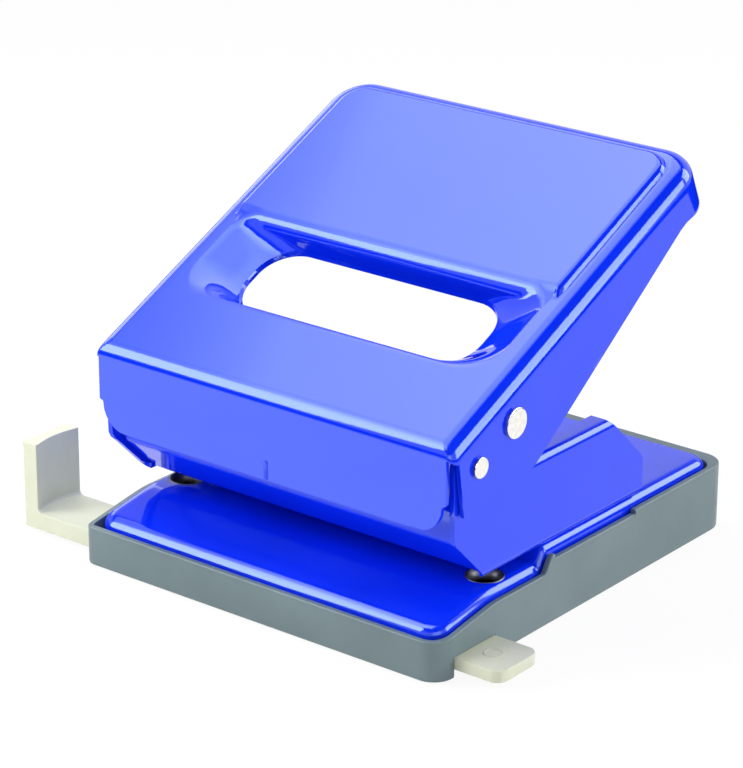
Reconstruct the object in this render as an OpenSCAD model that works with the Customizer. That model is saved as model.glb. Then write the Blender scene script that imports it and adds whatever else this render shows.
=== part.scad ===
// Two-hole desk punch, millimetres, +Z up.
// Origin: on the tray's underside, below the middle of the plate.
// +X is the user's right, +Y is away from the user. Paper goes in from -Y.
// Pressing the rear of the handle down drives both punches.

/* [View] */

// which piece to draw, or all

/* [Hole standard] */

// distance between the two hole centres
hole_spacing = 80; // [60:1:120]
// hole centre to the paper stop
hole_setback = 12; // [8:0.5:16]
// diameter of the punched hole
punch_d = 5.5; // [4:0.1:7]
// radial clearance of a punch in its guide holes and die
punch_fit = 0.05; // [0.02:0.01:0.1]
// distance between die and frame where the paper goes in
throat = 3.5; // [2:0.1:5]

/* [Widths] */

// hole centre to the outside of the frame
frame_side = 5.9; // [5.6:0.1:9]
// gap between a cheek of the frame and the flange of the handle
flange_gap = 0.3; // [0.1:0.05:1]
// hole centre to the outside of the tray
tray_side = 7.4; // [7:0.1:12]

/* [Tray] */

// tray depth over the rim that holds the plate
tray_d = 101.5; // [90:0.5:140]
// depth of the pull lip behind the rim
rear_lip = 2.4; // [0.5:0.1:6]
// rim wall thickness
rim_t = 1.3; // [0.8:0.05:2]
// lower wall thickness, the plate's edge stands on it
tray_wall = 2.4; // [2:0.1:4]
// floor thickness
tray_floor = 1.2; // [0.8:0.1:3]
// plan radius of the front corner on the left
tray_left_r = 2.2; // [1.6:0.1:8]
// plan radius of the front corner on the right
tray_right_r = 5; // [1.6:0.1:8]
// plan radius of the rear corners
tray_rear_r = 5.5; // [5:0.5:12]
// rim height below the plate's upper face
rim_drop = 1.8; // [1:0.1:3]
// depth of the notch in each side of the rim
notch_h = 0.9; // [0.3:0.1:1.5]
// length of that notch
notch_len = 29; // [10:0.5:40]

/* [Base plate] */

// gap between plate and rim, all round
plate_gap = 0.5; // [0.1:0.05:0.6]
// sheet thickness
plate_t = 1.0; // [0.6:0.1:1.6]
// plan radius of the plate's front corners
plate_front_r = 4.4; // [3.8:0.1:8]
// plan radius of the plate's rear corners
plate_rear_r = 4.2; // [3.8:0.1:8]
// outer radius of the rolled edge
plate_roll = 2.5; // [1.6:0.1:4]
// height of the edge, from upper face to lower rim
plate_edge_h = 5; // [4:0.1:7]
// height of the raised rear half
plate_rear_z = 17; // [14:0.1:22]
// fall of the front apron of the plate, degrees
plate_fall = 9.5; // [0:0.5:15]
// where the front apron of the plate begins to fall
plate_fall_y = -32.4; // [-40:0.1:-28]
// paper stop, the middle of the step in the plate
stop_y = -13.9; // [-20:0.1:-8]
// half length of that step
step_half = 1.6; // [1:0.1:3]

/* [Frame] */

// sheet thickness of the frame
frame_t = 1.2; // [0.8:0.1:2]
// outer bend radius of the frame
frame_bend = 2.0; // [1.4:0.1:3]
// front edge of the cheeks
cheek_front_y = -44; // [-50:0.1:-40]
// rear edge of the cheeks
cheek_rear_y = 21.6; // [10:0.1:40]
// upper edge of the cheeks
cheek_top_z = 37.5; // [34:0.1:40]
// width of the turned-in upper edges
cheek_lip = 5.1; // [3:0.1:8]
// where the turned-in edges begin, behind the punches
cheek_lip_y = -20; // [-21:0.1:-12]
// front face of the lip between the cheeks
lip_y = -41; // [-43:0.1:-38]
// where that lip leaves the web
lip_foot_y = -31.7; // [-33:0.1:-31]
// shank diameter of the frame's rivets
rivet_d = 4; // [3:0.1:5]
// head diameter of the frame's rivets
rivet_head_d = 6.6; // [5:0.1:8]

/* [Lever] */

// fulcrum, across
fulcrum_y = -38.2; // [-42:0.1:-35]
// fulcrum, up
fulcrum_z = 43; // [40:0.1:46]
// shank diameter of the fulcrum pins
fulcrum_d = 3.4; // [2.5:0.1:4]
// head diameter of the fulcrum pins
fulcrum_head_d = 4.9; // [4:0.1:8]
// radius of the ear around the fulcrum
ear_r = 6.3; // [5:0.1:6.6]
// radial clearance of the handle on the fulcrum pins
fulcrum_fit = 0.05; // [0.02:0.01:0.1]
// diameter of the press shaft
shaft_d = 5.6; // [5:0.1:7]
// head diameter of the press shaft
shaft_head_d = 7.2; // [6:0.1:10]
// height of the shaft over the fulcrum, at rest
shaft_rise = 5.8; // [4:0.1:9]
// shaft in front of the punches, at rest
shaft_lead = 0.8; // [0:0.1:1.5]
// free play between shaft and punch, at rest
shaft_play = 0.15; // [0.05:0.05:0.5]
// height of the visible pin heads
pin_head_h = 0.85; // [0.4:0.05:1.5]

/* [Handle] */

// where the handle's own measures start, across
panel_y = -37; // [-39:0.1:-35]
// where the handle's own measures start, up
panel_z = 42.3; // [41:0.1:44]
// slope of the handle at rest, degrees
handle_slope = 25; // [15:0.5:35]
// sheet thickness of the handle
handle_t = 1.0; // [0.8:0.1:1.4]
// upper face of the panel over its start
panel_rise = 10.2; // [9.5:0.1:13]
// start to rear end, along the panel
handle_reach = 88.3; // [70:0.1:120]
// bend radius along the sides
side_bend = 2.8; // [1.8:0.1:5]
// bend radius along the rear
rear_bend = 3.9; // [1.8:0.1:4]
// plan radius of the rear corners
handle_corner = 9; // [7:0.5:20]
// bend radius along the front
front_bend = 2.2; // [1.5:0.1:4]
// face of the front apron
apron_y = -46.7; // [-52:0.1:-46]
// lower edge of the front apron
apron_bottom_z = 30.4; // [26:0.1:34]
// where the apron steps in
apron_step_z = 36.8; // [34:0.1:40]
// how far the apron steps in on each side
apron_step = 1.25; // [0.3:0.05:3]
// radius of the apron's lower corners
apron_r = 6; // [2:0.1:6]
// depth of the side flanges at their lowest point
flange_depth = 22.2; // [18:0.1:24]
// height of the raised pad over the panel
pad_h = 1.5; // [0.5:0.1:3]
// flange to the edge of the pad
pad_side = 7.2; // [5.2:0.1:15]
// front edge of the pad along the panel
pad_front = 38.8; // [36:0.2:46]
// rear edge of the pad, before the end of the handle
pad_end = 5.8; // [5.8:0.1:20]
// width of the pad's sloping edge
pad_edge = 1.8; // [1:0.1:1.8]

/* [Finger slot] */

// flange to the end of the slot
slot_side = 16.2; // [13:0.1:25]
// front edge of the slot along the panel
slot_front = 17.4; // [16.5:0.1:20]
// rear edge of the slot along the panel
slot_rear = 37.4; // [30:0.1:38]
// corner radius of the slot
slot_r = 8.5; // [4:0.1:9.5]
// depth of the slot's edge below the panel
slot_sink = 4.7; // [3:0.1:8]
// flange to the end of the hollow around the slot
scoop_side = 6.2; // [5.6:0.1:10]
// front edge of the hollow around the slot
scoop_front = 14.3; // [12:0.1:16]

/* [Guide bar] */

// width of the bar
bar_w = 13.4; // [8:0.1:18]
// thickness of the bar
bar_t = 3.9; // [2.8:0.1:4.1]
// thickness of its tab on the right
tab_t = 2.6; // [1.5:0.1:2.8]
// upper face of the bar
bar_z = 4.6; // [4:0.1:5]
// centre line of the bar
bar_y = -38.7; // [-42:0.1:-36]
// length of the tab outside the tray on the right
bar_tab = 11.1; // [4:0.1:20]
// paper face of the stop, outside the tray on the left
stop_out = 18.8; // [14:0.1:40]
// thickness of the stop
stop_t = 3.8; // [2.5:0.1:5]
// hollow of the stop's paper face
stop_hollow = 0.9; // [0.3:0.1:1.2]
// height of the stop's upper edge
stop_z = 20.5; // [12:0.1:30]
// gap around the bar in the tray
bar_fit = 0.15; // [0.1:0.05:0.4]

/* [Punch and spring] */

// lower end of the punch over the underside of the frame, at rest
punch_lift = 0.3; // [0.1:0.1:1]
// upper face of the punch carrier
carrier_top_z = 31; // [28:0.1:33]
// sheet thickness of the punch carrier
carrier_t = 1.5; // [1:0.1:2]
// carrier in front of the punches
carrier_ahead = 4.8; // [4:0.1:5]
// carrier behind the punches
carrier_behind = 6.2; // [4:0.1:6.4]
// shank diameter of the carrier's rivets
carrier_rivet_d = 3; // [2:0.1:4]
// width of the countersink of the carrier's rivets
carrier_sink = 0.8; // [0.4:0.1:0.9]
// wire diameter of the springs
wire_d = 0.8; // [0.5:0.05:0.9]
// mean diameter of the springs
coil_d = 6.9; // [6.6:0.05:7]
// curls of each spring
curls = 5.5; // [4:0.5:6]
// height of a spring at rest
spring_h = 11; // [9:0.1:11.5]
// outside diameter of the spring seats
seat_d = 8.2; // [7.6:0.1:8.6]
// thickness of the spring seats
seat_t = 0.8; // [0.5:0.1:1.2]
// thickness of the retaining clips
clip_t = 0.6; // [0.4:0.05:0.8]
// outside diameter of the dies
die_d = 8.2; // [8:0.1:10]
// height of the dies
die_h = 2.4; // [2:0.1:4]

/* [Hidden] */

$fn = 48;
eps = 0.01;

ENAMEL = [0.36, 0.48, 0.98];
STEEL = [0.86, 0.86, 0.84];
DARK_STEEL = [0.45, 0.46, 0.48];
TRAY_GREY = [0.44, 0.54, 0.56];
IVORY = [0.84, 0.85, 0.80];

// widths, all from the hole spacing
punch_x = hole_spacing / 2;
cheek_out = punch_x + frame_side;
cheek_in = cheek_out - frame_t;
flange_in = cheek_out + flange_gap;
flange_out = flange_in + handle_t;
tray_w = hole_spacing + 2 * tray_side;
plate_half_w = tray_w / 2 - rim_t - plate_gap;
plate_half_d = tray_d / 2 - rim_t - plate_gap;
far = 3 * (tray_w + tray_d);

// heights of plate and frame
plate_front_z = plate_rear_z - throat;
web_z = plate_rear_z;
web_top = web_z + frame_t;
rivet_gap = 0.02;
rivet_places = [for (x = [-1, 1]) for (y = [stop_y + 7.9, cheek_rear_y - 8.6]) [x * (punch_x - 10), y]];

// lever places
punch_y = stop_y - hole_setback;
shaft_y = punch_y - shaft_lead;
shaft_z = fulcrum_z + shaft_rise;

// handle places
pad_half = flange_out - pad_side;
pad_rear = handle_reach - pad_end;
slot_half = flange_out - slot_side;
scoop_half = flange_out - scoop_side;

// guide bar places
bar_right = tray_w / 2 + bar_tab;
stop_x = -tray_w / 2 - stop_out;

// punch stack, from below
punch_bottom = web_z + punch_lift;
punch_top = shaft_z - shaft_d / 2 - shaft_play;
seat_z = carrier_top_z + spring_h;
clip_z = seat_z + seat_t;
groove_d = punch_d - 1.4;

// small helpers

function mix(a, b, k) = a + (b - a) * k;
function clamp01(k) = min(1, max(0, k));
function ease(k) = (1 - cos(180 * clamp01(k))) / 2;
function unit(p) = p / max(norm(p), 1e-6);
function flat(lists) = [for (l = lists) for (p = l) p];

// a half ring and its mirror image, closed
function mirrored(half) =
    concat(half, [for (j = [len(half) - 2 : -1 : 1]) [-half[j][0], half[j][1], half[j][2]]]);

// upper face of the plate along y
function plate_z(y) =
    let (step = ease((stop_y + step_half - y) / (2 * step_half)),
        fall = max(0, plate_fall_y - y) * tan(plate_fall))
    mix(plate_rear_z, plate_front_z, step) - fall;

// places along the step of the plate
function step_places() = [for (i = [0 : 8]) stop_y - step_half + i * step_half / 4];

// side outline that follows the plate, lowered by drop
function plate_line(drop) =
    let (front = plate_z(-plate_half_d))
    concat([[-far, front - drop], [-plate_half_d, front - drop], [plate_fall_y, plate_front_z - drop]],
        [for (y = step_places()) [y, plate_z(y) - drop]],
        [[far, plate_rear_z - drop]]);

// extrude a (y, z) outline along x, centred
module along_x(width) {
    rotate([90, 0, 90])
        linear_extrude(height = width, center = true)
            children();
}

// everything below the outline of the plate, lowered by drop
module under_plate(drop) {
    along_x(far)
        polygon(concat([[far, -1], [-far, -1]], plate_line(drop)));
}

// the direction out of a skin given as rings of points
function ring_normal(rings, k, j) =
    let (n = len(rings[0]), k0 = max(0, k - 1), k1 = min(len(rings) - 1, k + 1),
        across = rings[k1][j] - rings[k0][j],
        along = rings[k][(j + 1) % n] - rings[k][(j + n - 1) % n])
    unit(cross(across, along));

// triangles between neighbouring rings of n points
function ring_faces(m, n) =
    [for (k = [0 : m - 2]) for (j = [0 : n - 1])
        let (i = (j + 1) % n, a = k * n + j, b = a + n, c = (k + 1) * n + i, d = k * n + i)
        each [[a, d, c], [a, c, b]]];

// the same triangles on the back of the sheet
function back_faces(faces, shift) = [for (f = faces) [f[0] + shift, f[2] + shift, f[1] + shift]];

// pressed sheet: rings run from the inner to the outer edge, the back lies one thickness below
module ring_shell(rings, thickness) {
    n = len(rings[0]);
    m = len(rings);
    back = [for (k = [0 : m - 1]) [for (j = [0 : n - 1])
        rings[k][j] - thickness * ring_normal(rings, k, j)]];
    skin = ring_faces(m, n);
    rims = [for (j = [0 : n - 1])
        let (i = (j + 1) % n, c = (m - 1) * n + j, d = (m - 1) * n + i, q = m * n)
        each [[j, i + q, i], [j, j + q, i + q], [c, d, d + q], [c, d + q, c + q]]];
    polyhedron(points = concat(flat(rings), flat(back)),
        faces = concat(skin, back_faces(skin, m * n), rims), convexity = 8);
}

// TRAY

// plan of the tray, drawn in by inset, rear edge moved back by rear, with its corner radii
module tray_plan(inset, rear, left_r, right_r, rear_r) {
    a = tray_w / 2 - inset;
    y0 = inset - tray_d / 2;
    y1 = tray_d / 2 - inset + rear;
    m = max(left_r, right_r, rear_r);
    translate([m - a, y0]) square([2 * (a - m), y1 - y0]);
    for (s = [-1, 1]) {
        r = s < 0 ? left_r : right_r;
        mirror([s < 0 ? 1 : 0, 0]) {
            translate([a - m - eps, y0 + r]) square([m + eps, y1 - y0 - r - rear_r]);
            translate([a - m - eps, y0]) square([m - r + eps, r + eps]);
            translate([a - m - eps, y1 - rear_r - eps]) square([m - rear_r + eps, rear_r + eps]);
            translate([a - r, y0 + r]) circle(r = r);
            translate([a - rear_r, y1 - rear_r]) circle(r = rear_r);
        }
    }
}

// inside of the rim, and the pocket below the ledge
module rim_plan() {
    tray_plan(rim_t, 0, max(0.6, tray_left_r - rim_t), max(0.6, tray_right_r - rim_t),
        tray_rear_r - rim_t);
}

module pocket_plan() {
    tray_plan(tray_wall, 0, plate_front_r, plate_front_r, plate_rear_r);
}

module chip_tray() {
    ledge_gap = 0.02;
    tunnel = bar_w + 2 * bar_fit;
    tunnel_top = bar_z + bar_fit;
    roof = 0.95;
    rib = 1.1;
    house_half = tray_w / 2 - rim_t - 0.4;
    notch_y = stop_y + step_half + 0.6;
    notch_z = plate_rear_z - rim_drop - notch_h;
    channel_half = house_half - 4;
    channel_floor = bar_z - bar_t - bar_fit;
    color(TRAY_GREY)
        union() {
            difference() {
                union() {
                    difference() {
                        intersection() {
                            linear_extrude(height = far)
                                tray_plan(0, rear_lip, tray_left_r, tray_right_r, tray_rear_r);
                            under_plate(rim_drop);
                        }
                        translate([0, 0, tray_floor]) linear_extrude(height = far) pocket_plan();
                        difference() {
                            linear_extrude(height = far) rim_plan();
                            under_plate(plate_edge_h + ledge_gap);
                        }
                        // notches in the sides of the rim
                        for (s = [-1, 1])
                            translate([s * tray_w / 2 - rim_t - eps, notch_y, notch_z])
                                cube([2 * (rim_t + eps), notch_len, far]);
                    }
                    // housing of the guide bar
                    translate([-house_half, bar_y - tunnel / 2 - rib, tray_floor - eps])
                        cube([2 * house_half, tunnel + 2 * rib, tunnel_top + roof - tray_floor]);
                }
                // channel of the guide bar
                translate([-far / 2, bar_y - tunnel / 2, -1])
                    cube([far, tunnel, tunnel_top + 1]);
            }
            // floor of the channel, which stops short of the walls
            translate([-channel_half, bar_y - tunnel / 2 - eps, 0])
                cube([2 * channel_half, tunnel + 2 * eps, channel_floor]);
        }
}

// GUIDE BAR

module guide_bar() {
    y0 = bar_y - bar_w / 2;
    y1 = y0 + bar_w;
    x0 = stop_x - stop_t;
    x1 = bar_right;
    tab_x = tray_w / 2 - 3;
    cut = 2.2;
    peg_d = 1.5;
    peg_h = 0.35;
    mark_d = 4.2;
    mark_t = 0.4;
    mark_h = 0.15;
    mark_x = x1 - 6.5;
    chord = bar_w - 1.8;
    hollow_r = chord * chord / (8 * stop_hollow) + stop_hollow / 2;
    color(IVORY)
        union() {
            translate([x0, y0, bar_z - bar_t])
                cube([tab_x - x0, bar_w, bar_t]);
            // tab on the right, with cut corners
            translate([0, 0, bar_z - tab_t])
                linear_extrude(height = tab_t)
                    polygon([[tab_x - 1, y0], [x1 - cut, y0], [x1, y0 + cut], [x1, y1 - cut],
                        [x1 - cut, y1], [tab_x - 1, y1]]);
            // stop with a hollow paper face
            difference() {
                translate([x0, y0, bar_z - 1])
                    cube([stop_t, bar_w, stop_z - bar_z + 1]);
                translate([stop_x - stop_hollow + hollow_r, bar_y, bar_z])
                    cylinder(r = hollow_r, h = stop_z, $fn = 120);
            }
            // peg that the stop end stands on
            translate([x0 + 2.6, y0 + 1.4, bar_z - bar_t - peg_h])
                cylinder(d = peg_d, h = peg_h + 0.5, $fn = 24);
            // mark left by the mould on the right tab
            translate([mark_x, bar_y, bar_z - eps])
                difference() {
                    cylinder(d = mark_d, h = mark_h);
                    translate([0, 0, -1]) cylinder(d = mark_d - 2 * mark_t, h = 3);
                }
        }
}

// BASE PLATE

// half outline of the plate at an inset, from front middle over the right side to rear middle
function plate_half(inset, drop) =
    let (a = plate_half_w - inset, b = plate_half_d - inset,
        rf = plate_front_r - inset, rr = plate_rear_r - inset,
        side_y = concat(
            [for (i = [1 : 3]) mix(-b + rf, plate_fall_y, i / 4)],
            [plate_fall_y, mix(plate_fall_y, stop_y, 0.5)],
            step_places(),
            [mix(stop_y, plate_half_d, 0.2), mix(stop_y, plate_half_d, 0.6)]),
        outline = concat(
            [[0, -b]],
            [for (i = [0 : 5]) [a - rf + rf * sin(18 * i), -b + rf - rf * cos(18 * i)]],
            [for (y = side_y) [a, y]],
            [for (i = [0 : 5]) [a - rr + rr * cos(18 * i), b - rr + rr * sin(18 * i)]],
            [[0, b]]))
    [for (p = outline) [p[0], p[1], plate_z(p[1]) - drop]];

// normal of the flat strips, which only lean along y
function strip_normal(ring, j) =
    let (d = 0.2, y = ring[j][1], lean = (plate_z(y + d) - plate_z(y - d)) / (2 * d))
    unit([0, -lean, 1]);

// point of the plate's back; the lowest ring stays level with the plate's outline
function plate_back(rings, k, j) =
    let (p = rings[k][j] - plate_t * (k == 0 ? strip_normal(rings[0], j) : ring_normal(rings, k, j)))
    k < len(rings) - 1 ? p : [p[0], p[1], plate_z(p[1]) - plate_edge_h];

// the plate's skin: rings of the rolled edge, closed by strips from side to side
module plate_sheet() {
    bends = 6;
    rolled = [for (i = [0 : bends])
        let (f = 90 * i / bends)
        mirrored(plate_half(plate_roll * (1 - sin(f)), plate_roll * (1 - cos(f))))];
    inner = mirrored(plate_half(plate_roll + 0.8, 0));
    lower = mirrored(plate_half(0, plate_edge_h));
    rings = concat([inner], rolled, [lower]);
    n = len(rings[0]);
    half = n / 2;
    m = len(rings);
    back = [for (k = [0 : m - 1]) [for (j = [0 : n - 1]) plate_back(rings, k, j)]];
    strips = [for (j = [2 : half - 3]) each [[j, n - j - 1, j + 1], [j, n - j, n - j - 1]]];
    front = [[0, n - 2, 2], [0, 2, 1], [0, n - 1, n - 2]];
    rear = [[half - 2, half + 2, half], [half - 2, half, half - 1], [half + 2, half + 1, half]];
    top = concat(ring_faces(m, n), strips, front, rear);
    rim = [for (j = [0 : n - 1])
        let (i = (j + 1) % n, c = (m - 1) * n + j, d = (m - 1) * n + i, q = m * n)
        each [[c, d, d + q], [c, d + q, c + q]]];
    polyhedron(points = concat(flat(rings), flat(back)),
        faces = concat(top, back_faces(top, m * n), rim), convexity = 8);
}

module base_plate() {
    color(ENAMEL)
        difference() {
            plate_sheet();
            for (s = [-1, 1])
                translate([s * punch_x, punch_y, 0]) cylinder(d = die_d, h = far);
            for (p = rivet_places)
                translate([p[0], p[1], 0]) cylinder(d = rivet_d + 2 * rivet_gap, h = far);
        }
}

// DIES

module die(side) {
    rise = 0.08;
    bore = punch_d / 2 + punch_fit;
    r = die_d / 2;
    mouth = 1.0;
    mouth_h = 0.5;
    color(STEEL)
        translate([side * punch_x, punch_y, plate_front_z + rise - die_h])
            rotate_extrude()
                polygon([[bore, 0], [r - 0.3, 0], [r, 0.3], [r, die_h - 0.2], [r - 0.2, die_h],
                    [bore + mouth, die_h], [bore, die_h - mouth_h]]);
}

module left_die() { die(-1); }
module right_die() { die(1); }

// FRAME

// side outline of the cheeks, (y, z)
module cheek_outline() {
    corner = 1.0;
    throat_y = lip_foot_y - 1.4;
    knee_z = web_z + 9;
    ear_back = fulcrum_y + ear_r;
    fillet = 3;
    y1 = cheek_rear_y;
    union() {
        polygon([[cheek_front_y, fulcrum_z], [cheek_front_y, knee_z + 2.2], [throat_y - 9, knee_z],
            [throat_y, web_z], [y1 - corner, web_z], [y1, web_z + corner], [y1, web_z + 7.6],
            [y1 - 1, web_z + 9.6], [y1 - 12.4, cheek_top_z], [ear_back + fillet, cheek_top_z],
            for (i = [0 : 6])
                [ear_back + fillet - fillet * sin(15 * i), cheek_top_z + fillet - fillet * cos(15 * i)],
            [ear_back, fulcrum_z]]);
        translate([fulcrum_y, fulcrum_z]) circle(r = ear_r);
    }
}

// upright box with round lower edges, and round upper ones if top_r is not nought, (x, z)
module rounded_box(a, z0, z1, r, top_r) {
    translate([-a, z0 + r]) square([2 * a, z1 - z0 - r - top_r]);
    translate([-a + r, z0]) square([2 * (a - r), r + eps]);
    for (s = [-1, 1])
        translate([s * (a - r), z0 + r]) circle(r = r);
    if (top_r > 0) {
        translate([-a + top_r, z1 - top_r - eps]) square([2 * (a - top_r), top_r + eps]);
        for (s = [-1, 1])
            translate([s * (a - top_r), z1 - top_r]) circle(r = top_r);
    }
}

// cross-section of the channel: open, or with its upper edges turned in, (x, z)
module channel_section(turned_in) {
    top = turned_in ? cheek_top_z : fulcrum_z + 2 * ear_r;
    r = frame_bend - frame_t;
    mouth = cheek_out - cheek_lip;
    difference() {
        rounded_box(cheek_out, web_z, top, frame_bend, turned_in ? frame_bend : 0);
        rounded_box(cheek_in, web_top, turned_in ? top - frame_t : top + 1, r, turned_in ? r : 0);
        if (turned_in)
            translate([-mouth, top - 2 * frame_t]) square([2 * mouth, 3 * frame_t]);
    }
}

module channel(y0, y1, turned_in) {
    translate([0, y1, 0]) rotate([90, 0, 0])
        linear_extrude(height = y1 - y0) channel_section(turned_in);
}

// front lip between the cheeks, (y, z)
module front_lip_outline() {
    t = frame_t;
    y0 = lip_foot_y;
    y2 = y0 + 6;
    knee = web_z + (y0 - lip_y);
    top = knee + 9.5;
    s = t * tan(22.5);
    polygon([[y0, web_z], [lip_y, knee], [lip_y, top], [lip_y + t, top], [lip_y + t, knee + s],
        [y0 + s, web_top], [y2, web_top], [y2, web_z]]);
}

module frame() {
    lip_half = cheek_in - 0.5;
    slot = 0.2;
    color(ENAMEL)
        difference() {
            union() {
                difference() {
                    intersection() {
                        union() {
                            channel(cheek_front_y - ear_r, cheek_lip_y, false);
                            channel(cheek_lip_y, cheek_rear_y, true);
                        }
                        along_x(far) cheek_outline();
                    }
                    // the web ends where the front lip begins
                    translate([-lip_half - slot, lip_foot_y - far, web_z - 1])
                        cube([2 * (lip_half + slot), far, frame_t + 1.1]);
                }
                along_x(2 * lip_half) front_lip_outline();
            }
            for (s = [-1, 1]) {
                translate([s * punch_x, punch_y, web_z - 1])
                    cylinder(d = punch_d + 2 * punch_fit, h = frame_t + 2);
                translate([s * cheek_out, fulcrum_y, fulcrum_z]) rotate([0, 90, 0])
                    cylinder(d = fulcrum_d, h = 4 * frame_t, center = true);
            }
            for (p = rivet_places)
                translate([p[0], p[1], web_z - 1]) cylinder(d = rivet_d + 2 * rivet_gap, h = frame_t + 2);
            for (p = carrier_places)
                translate([p[0], p[1], web_z]) carrier_rivet_seat();
        }
}

module frame_rivets() {
    r = rivet_head_d / 2;
    shank = rivet_d / 2;
    grip = frame_t + plate_t;
    color(STEEL)
        for (p = rivet_places)
            translate([p[0], p[1], plate_rear_z - plate_t])
                rotate_extrude()
                    polygon([[0, -1.2], [r - 0.6, -1.2], [r, -0.5], [r, 0], [shank, 0], [shank, grip],
                        [r, grip], [r, grip + 0.6], [r - 0.8, grip + 1.4], [0, grip + 1.4]]);
}

// PUNCH CARRIER

carrier_front = punch_y - carrier_ahead;
carrier_rear = punch_y + carrier_behind;
carrier_half = cheek_in - 0.35;
carrier_foot = punch_x - 14;
carrier_places = [for (s = [-1, 1]) [s * (punch_x - 9), punch_y + 0.6]];

module carrier_rivet_seat() {
    d = carrier_rivet_d + 2 * rivet_gap;
    translate([0, 0, -1]) cylinder(d = d, h = frame_t + 2);
    translate([0, 0, -1]) cylinder(d1 = d + 2 * carrier_sink + 2, d2 = d, h = carrier_sink + 1);
}

module punch_carrier() {
    t = carrier_t;
    h = carrier_half;
    z0 = web_top;
    z1 = carrier_top_z;
    cut = 0.7;
    bore = punch_d + 2 * punch_fit;
    color(DARK_STEEL)
        difference() {
            translate([0, carrier_rear, 0]) rotate([90, 0, 0])
                linear_extrude(height = carrier_rear - carrier_front)
                    difference() {
                        polygon([[cut - h, z0], [h - cut, z0], [h, z0 + cut],
                            [h, z1], [-h, z1], [-h, z0 + cut]]);
                        translate([t - h, z0 + t]) square([2 * (h - t), z1 - z0 - 2 * t]);
                        translate([-carrier_foot, z0 - 1]) square([2 * carrier_foot, t + 2]);
                    }
            for (s = [-1, 1])
                translate([s * punch_x, punch_y, z0 - 1]) cylinder(d = bore, h = z1 - z0 + 2);
            for (p = carrier_places)
                translate([p[0], p[1], z0 - 1]) cylinder(d = carrier_rivet_d + 2 * rivet_gap, h = t + 1.5);
        }
}

module carrier_rivets() {
    r = carrier_rivet_d / 2;
    head = r + 1.1;
    grip = frame_t + carrier_t;
    color(STEEL)
        for (p = carrier_places)
            translate([p[0], p[1], web_z])
                rotate_extrude()
                    polygon([[0, 0], [r + carrier_sink, 0], [r, carrier_sink], [r, grip], [head, grip],
                        [head, grip + 0.4], [head - 0.6, grip + 1], [0, grip + 1]]);
}

// LEVER PINS

module fulcrum_pin(side) {
    r = fulcrum_d / 2;
    head = fulcrum_head_d / 2;
    tail = r + 0.9;
    gap = 0.12;
    z0 = flange_out + gap - cheek_in;
    z1 = z0 + pin_head_h - gap;
    color(STEEL)
        translate([side * cheek_in, fulcrum_y, fulcrum_z])
            rotate([0, 90 * side, 0])
                rotate_extrude()
                    polygon([[0, -1.2], [tail - 0.6, -1.2], [tail, -0.6], [tail, 0], [r, 0], [r, z0],
                        [head, z0], [head, z1 - 0.25], [head - 0.3, z1 - 0.05], [0, z1]]);
}

module left_fulcrum_pin() { fulcrum_pin(-1); }
module right_fulcrum_pin() { fulcrum_pin(1); }

module press_shaft() {
    r = shaft_d / 2;
    head = shaft_head_d / 2;
    a = flange_out;
    b = a + pin_head_h;
    color(STEEL)
        translate([0, shaft_y, shaft_z])
            rotate([0, 90, 0])
                rotate_extrude()
                    polygon([[0, -b], [head - 0.4, 0.05 - b], [head, 0.35 - b], [head, -a], [r, -a], [r, a],
                        [head, a], [head, b - 0.35], [head - 0.4, b - 0.05], [0, b]]);
}

// HANDLE
// The handle has its own frame: v runs back along the panel, w stands up from it.

// points along the parts of each half ring
nF = 4;
nC = 4;
nL = 4;
nP = 4;
nU = 4;
nR = 6;
nB = 4;

function arc(cx, cy, r, a0, a1, n) =
    [for (i = [0 : n - 1]) let (a = mix(a0, a1, i / n)) [cx + r * cos(a), cy + r * sin(a)]];
function run(p, q, n) = [for (i = [0 : n - 1]) mix(p, q, i / n)];

// ring around the slot: half width, front, rear, radii in front and behind, heights at front, side and rear
function slot_half_ring(a, v0, v1, rf, rr, wf, ws, wr) =
    let (plan = concat(
            run([0, v0], [a - rf, v0], nF),
            arc(a - rf, v0 + rf, rf, -90, 0, nC),
            run([a, v0 + rf], [a, v1 - rr], nL),
            arc(a - rr, v1 - rr, rr, 0, 90, nP),
            run([a - rr, v1], [0, v1], nU + nR + nB),
            [[0, v1]]))
    [for (j = [0 : len(plan) - 1])
        let (side = ease((j - nF) / nC), rear = ease((j - nF - nC - nL) / nP))
        [plan[j][0], plan[j][1], mix(mix(wf, ws, side), wr, rear)]];

// ring around slot and pad: half widths beside slot and pad, front, rear, radii, heights in front and behind
function outer_half_ring(a, au, v0, v1, rf, rr, wl, wu) =
    let (v2 = pad_front - 1, v3 = pad_front + 1.4,
        plan = concat(
            run([0, v0], [a - rf, v0], nF),
            arc(a - rf, v0 + rf, rf, -90, 0, nC),
            run([a, v0 + rf], [a, v2], nL),
            run([a, v2], [au, v3], nP),
            run([au, v3], [au, v1 - rr], nU),
            arc(au - rr, v1 - rr, rr, 0, 90, nR),
            run([au - rr, v1], [0, v1], nB),
            [[0, v1]]))
    [for (j = [0 : len(plan) - 1])
        let (up = ease((j - nF - nC - nL) / nP))
        [plan[j][0], plan[j][1], mix(wl, wu, up)]];

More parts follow.
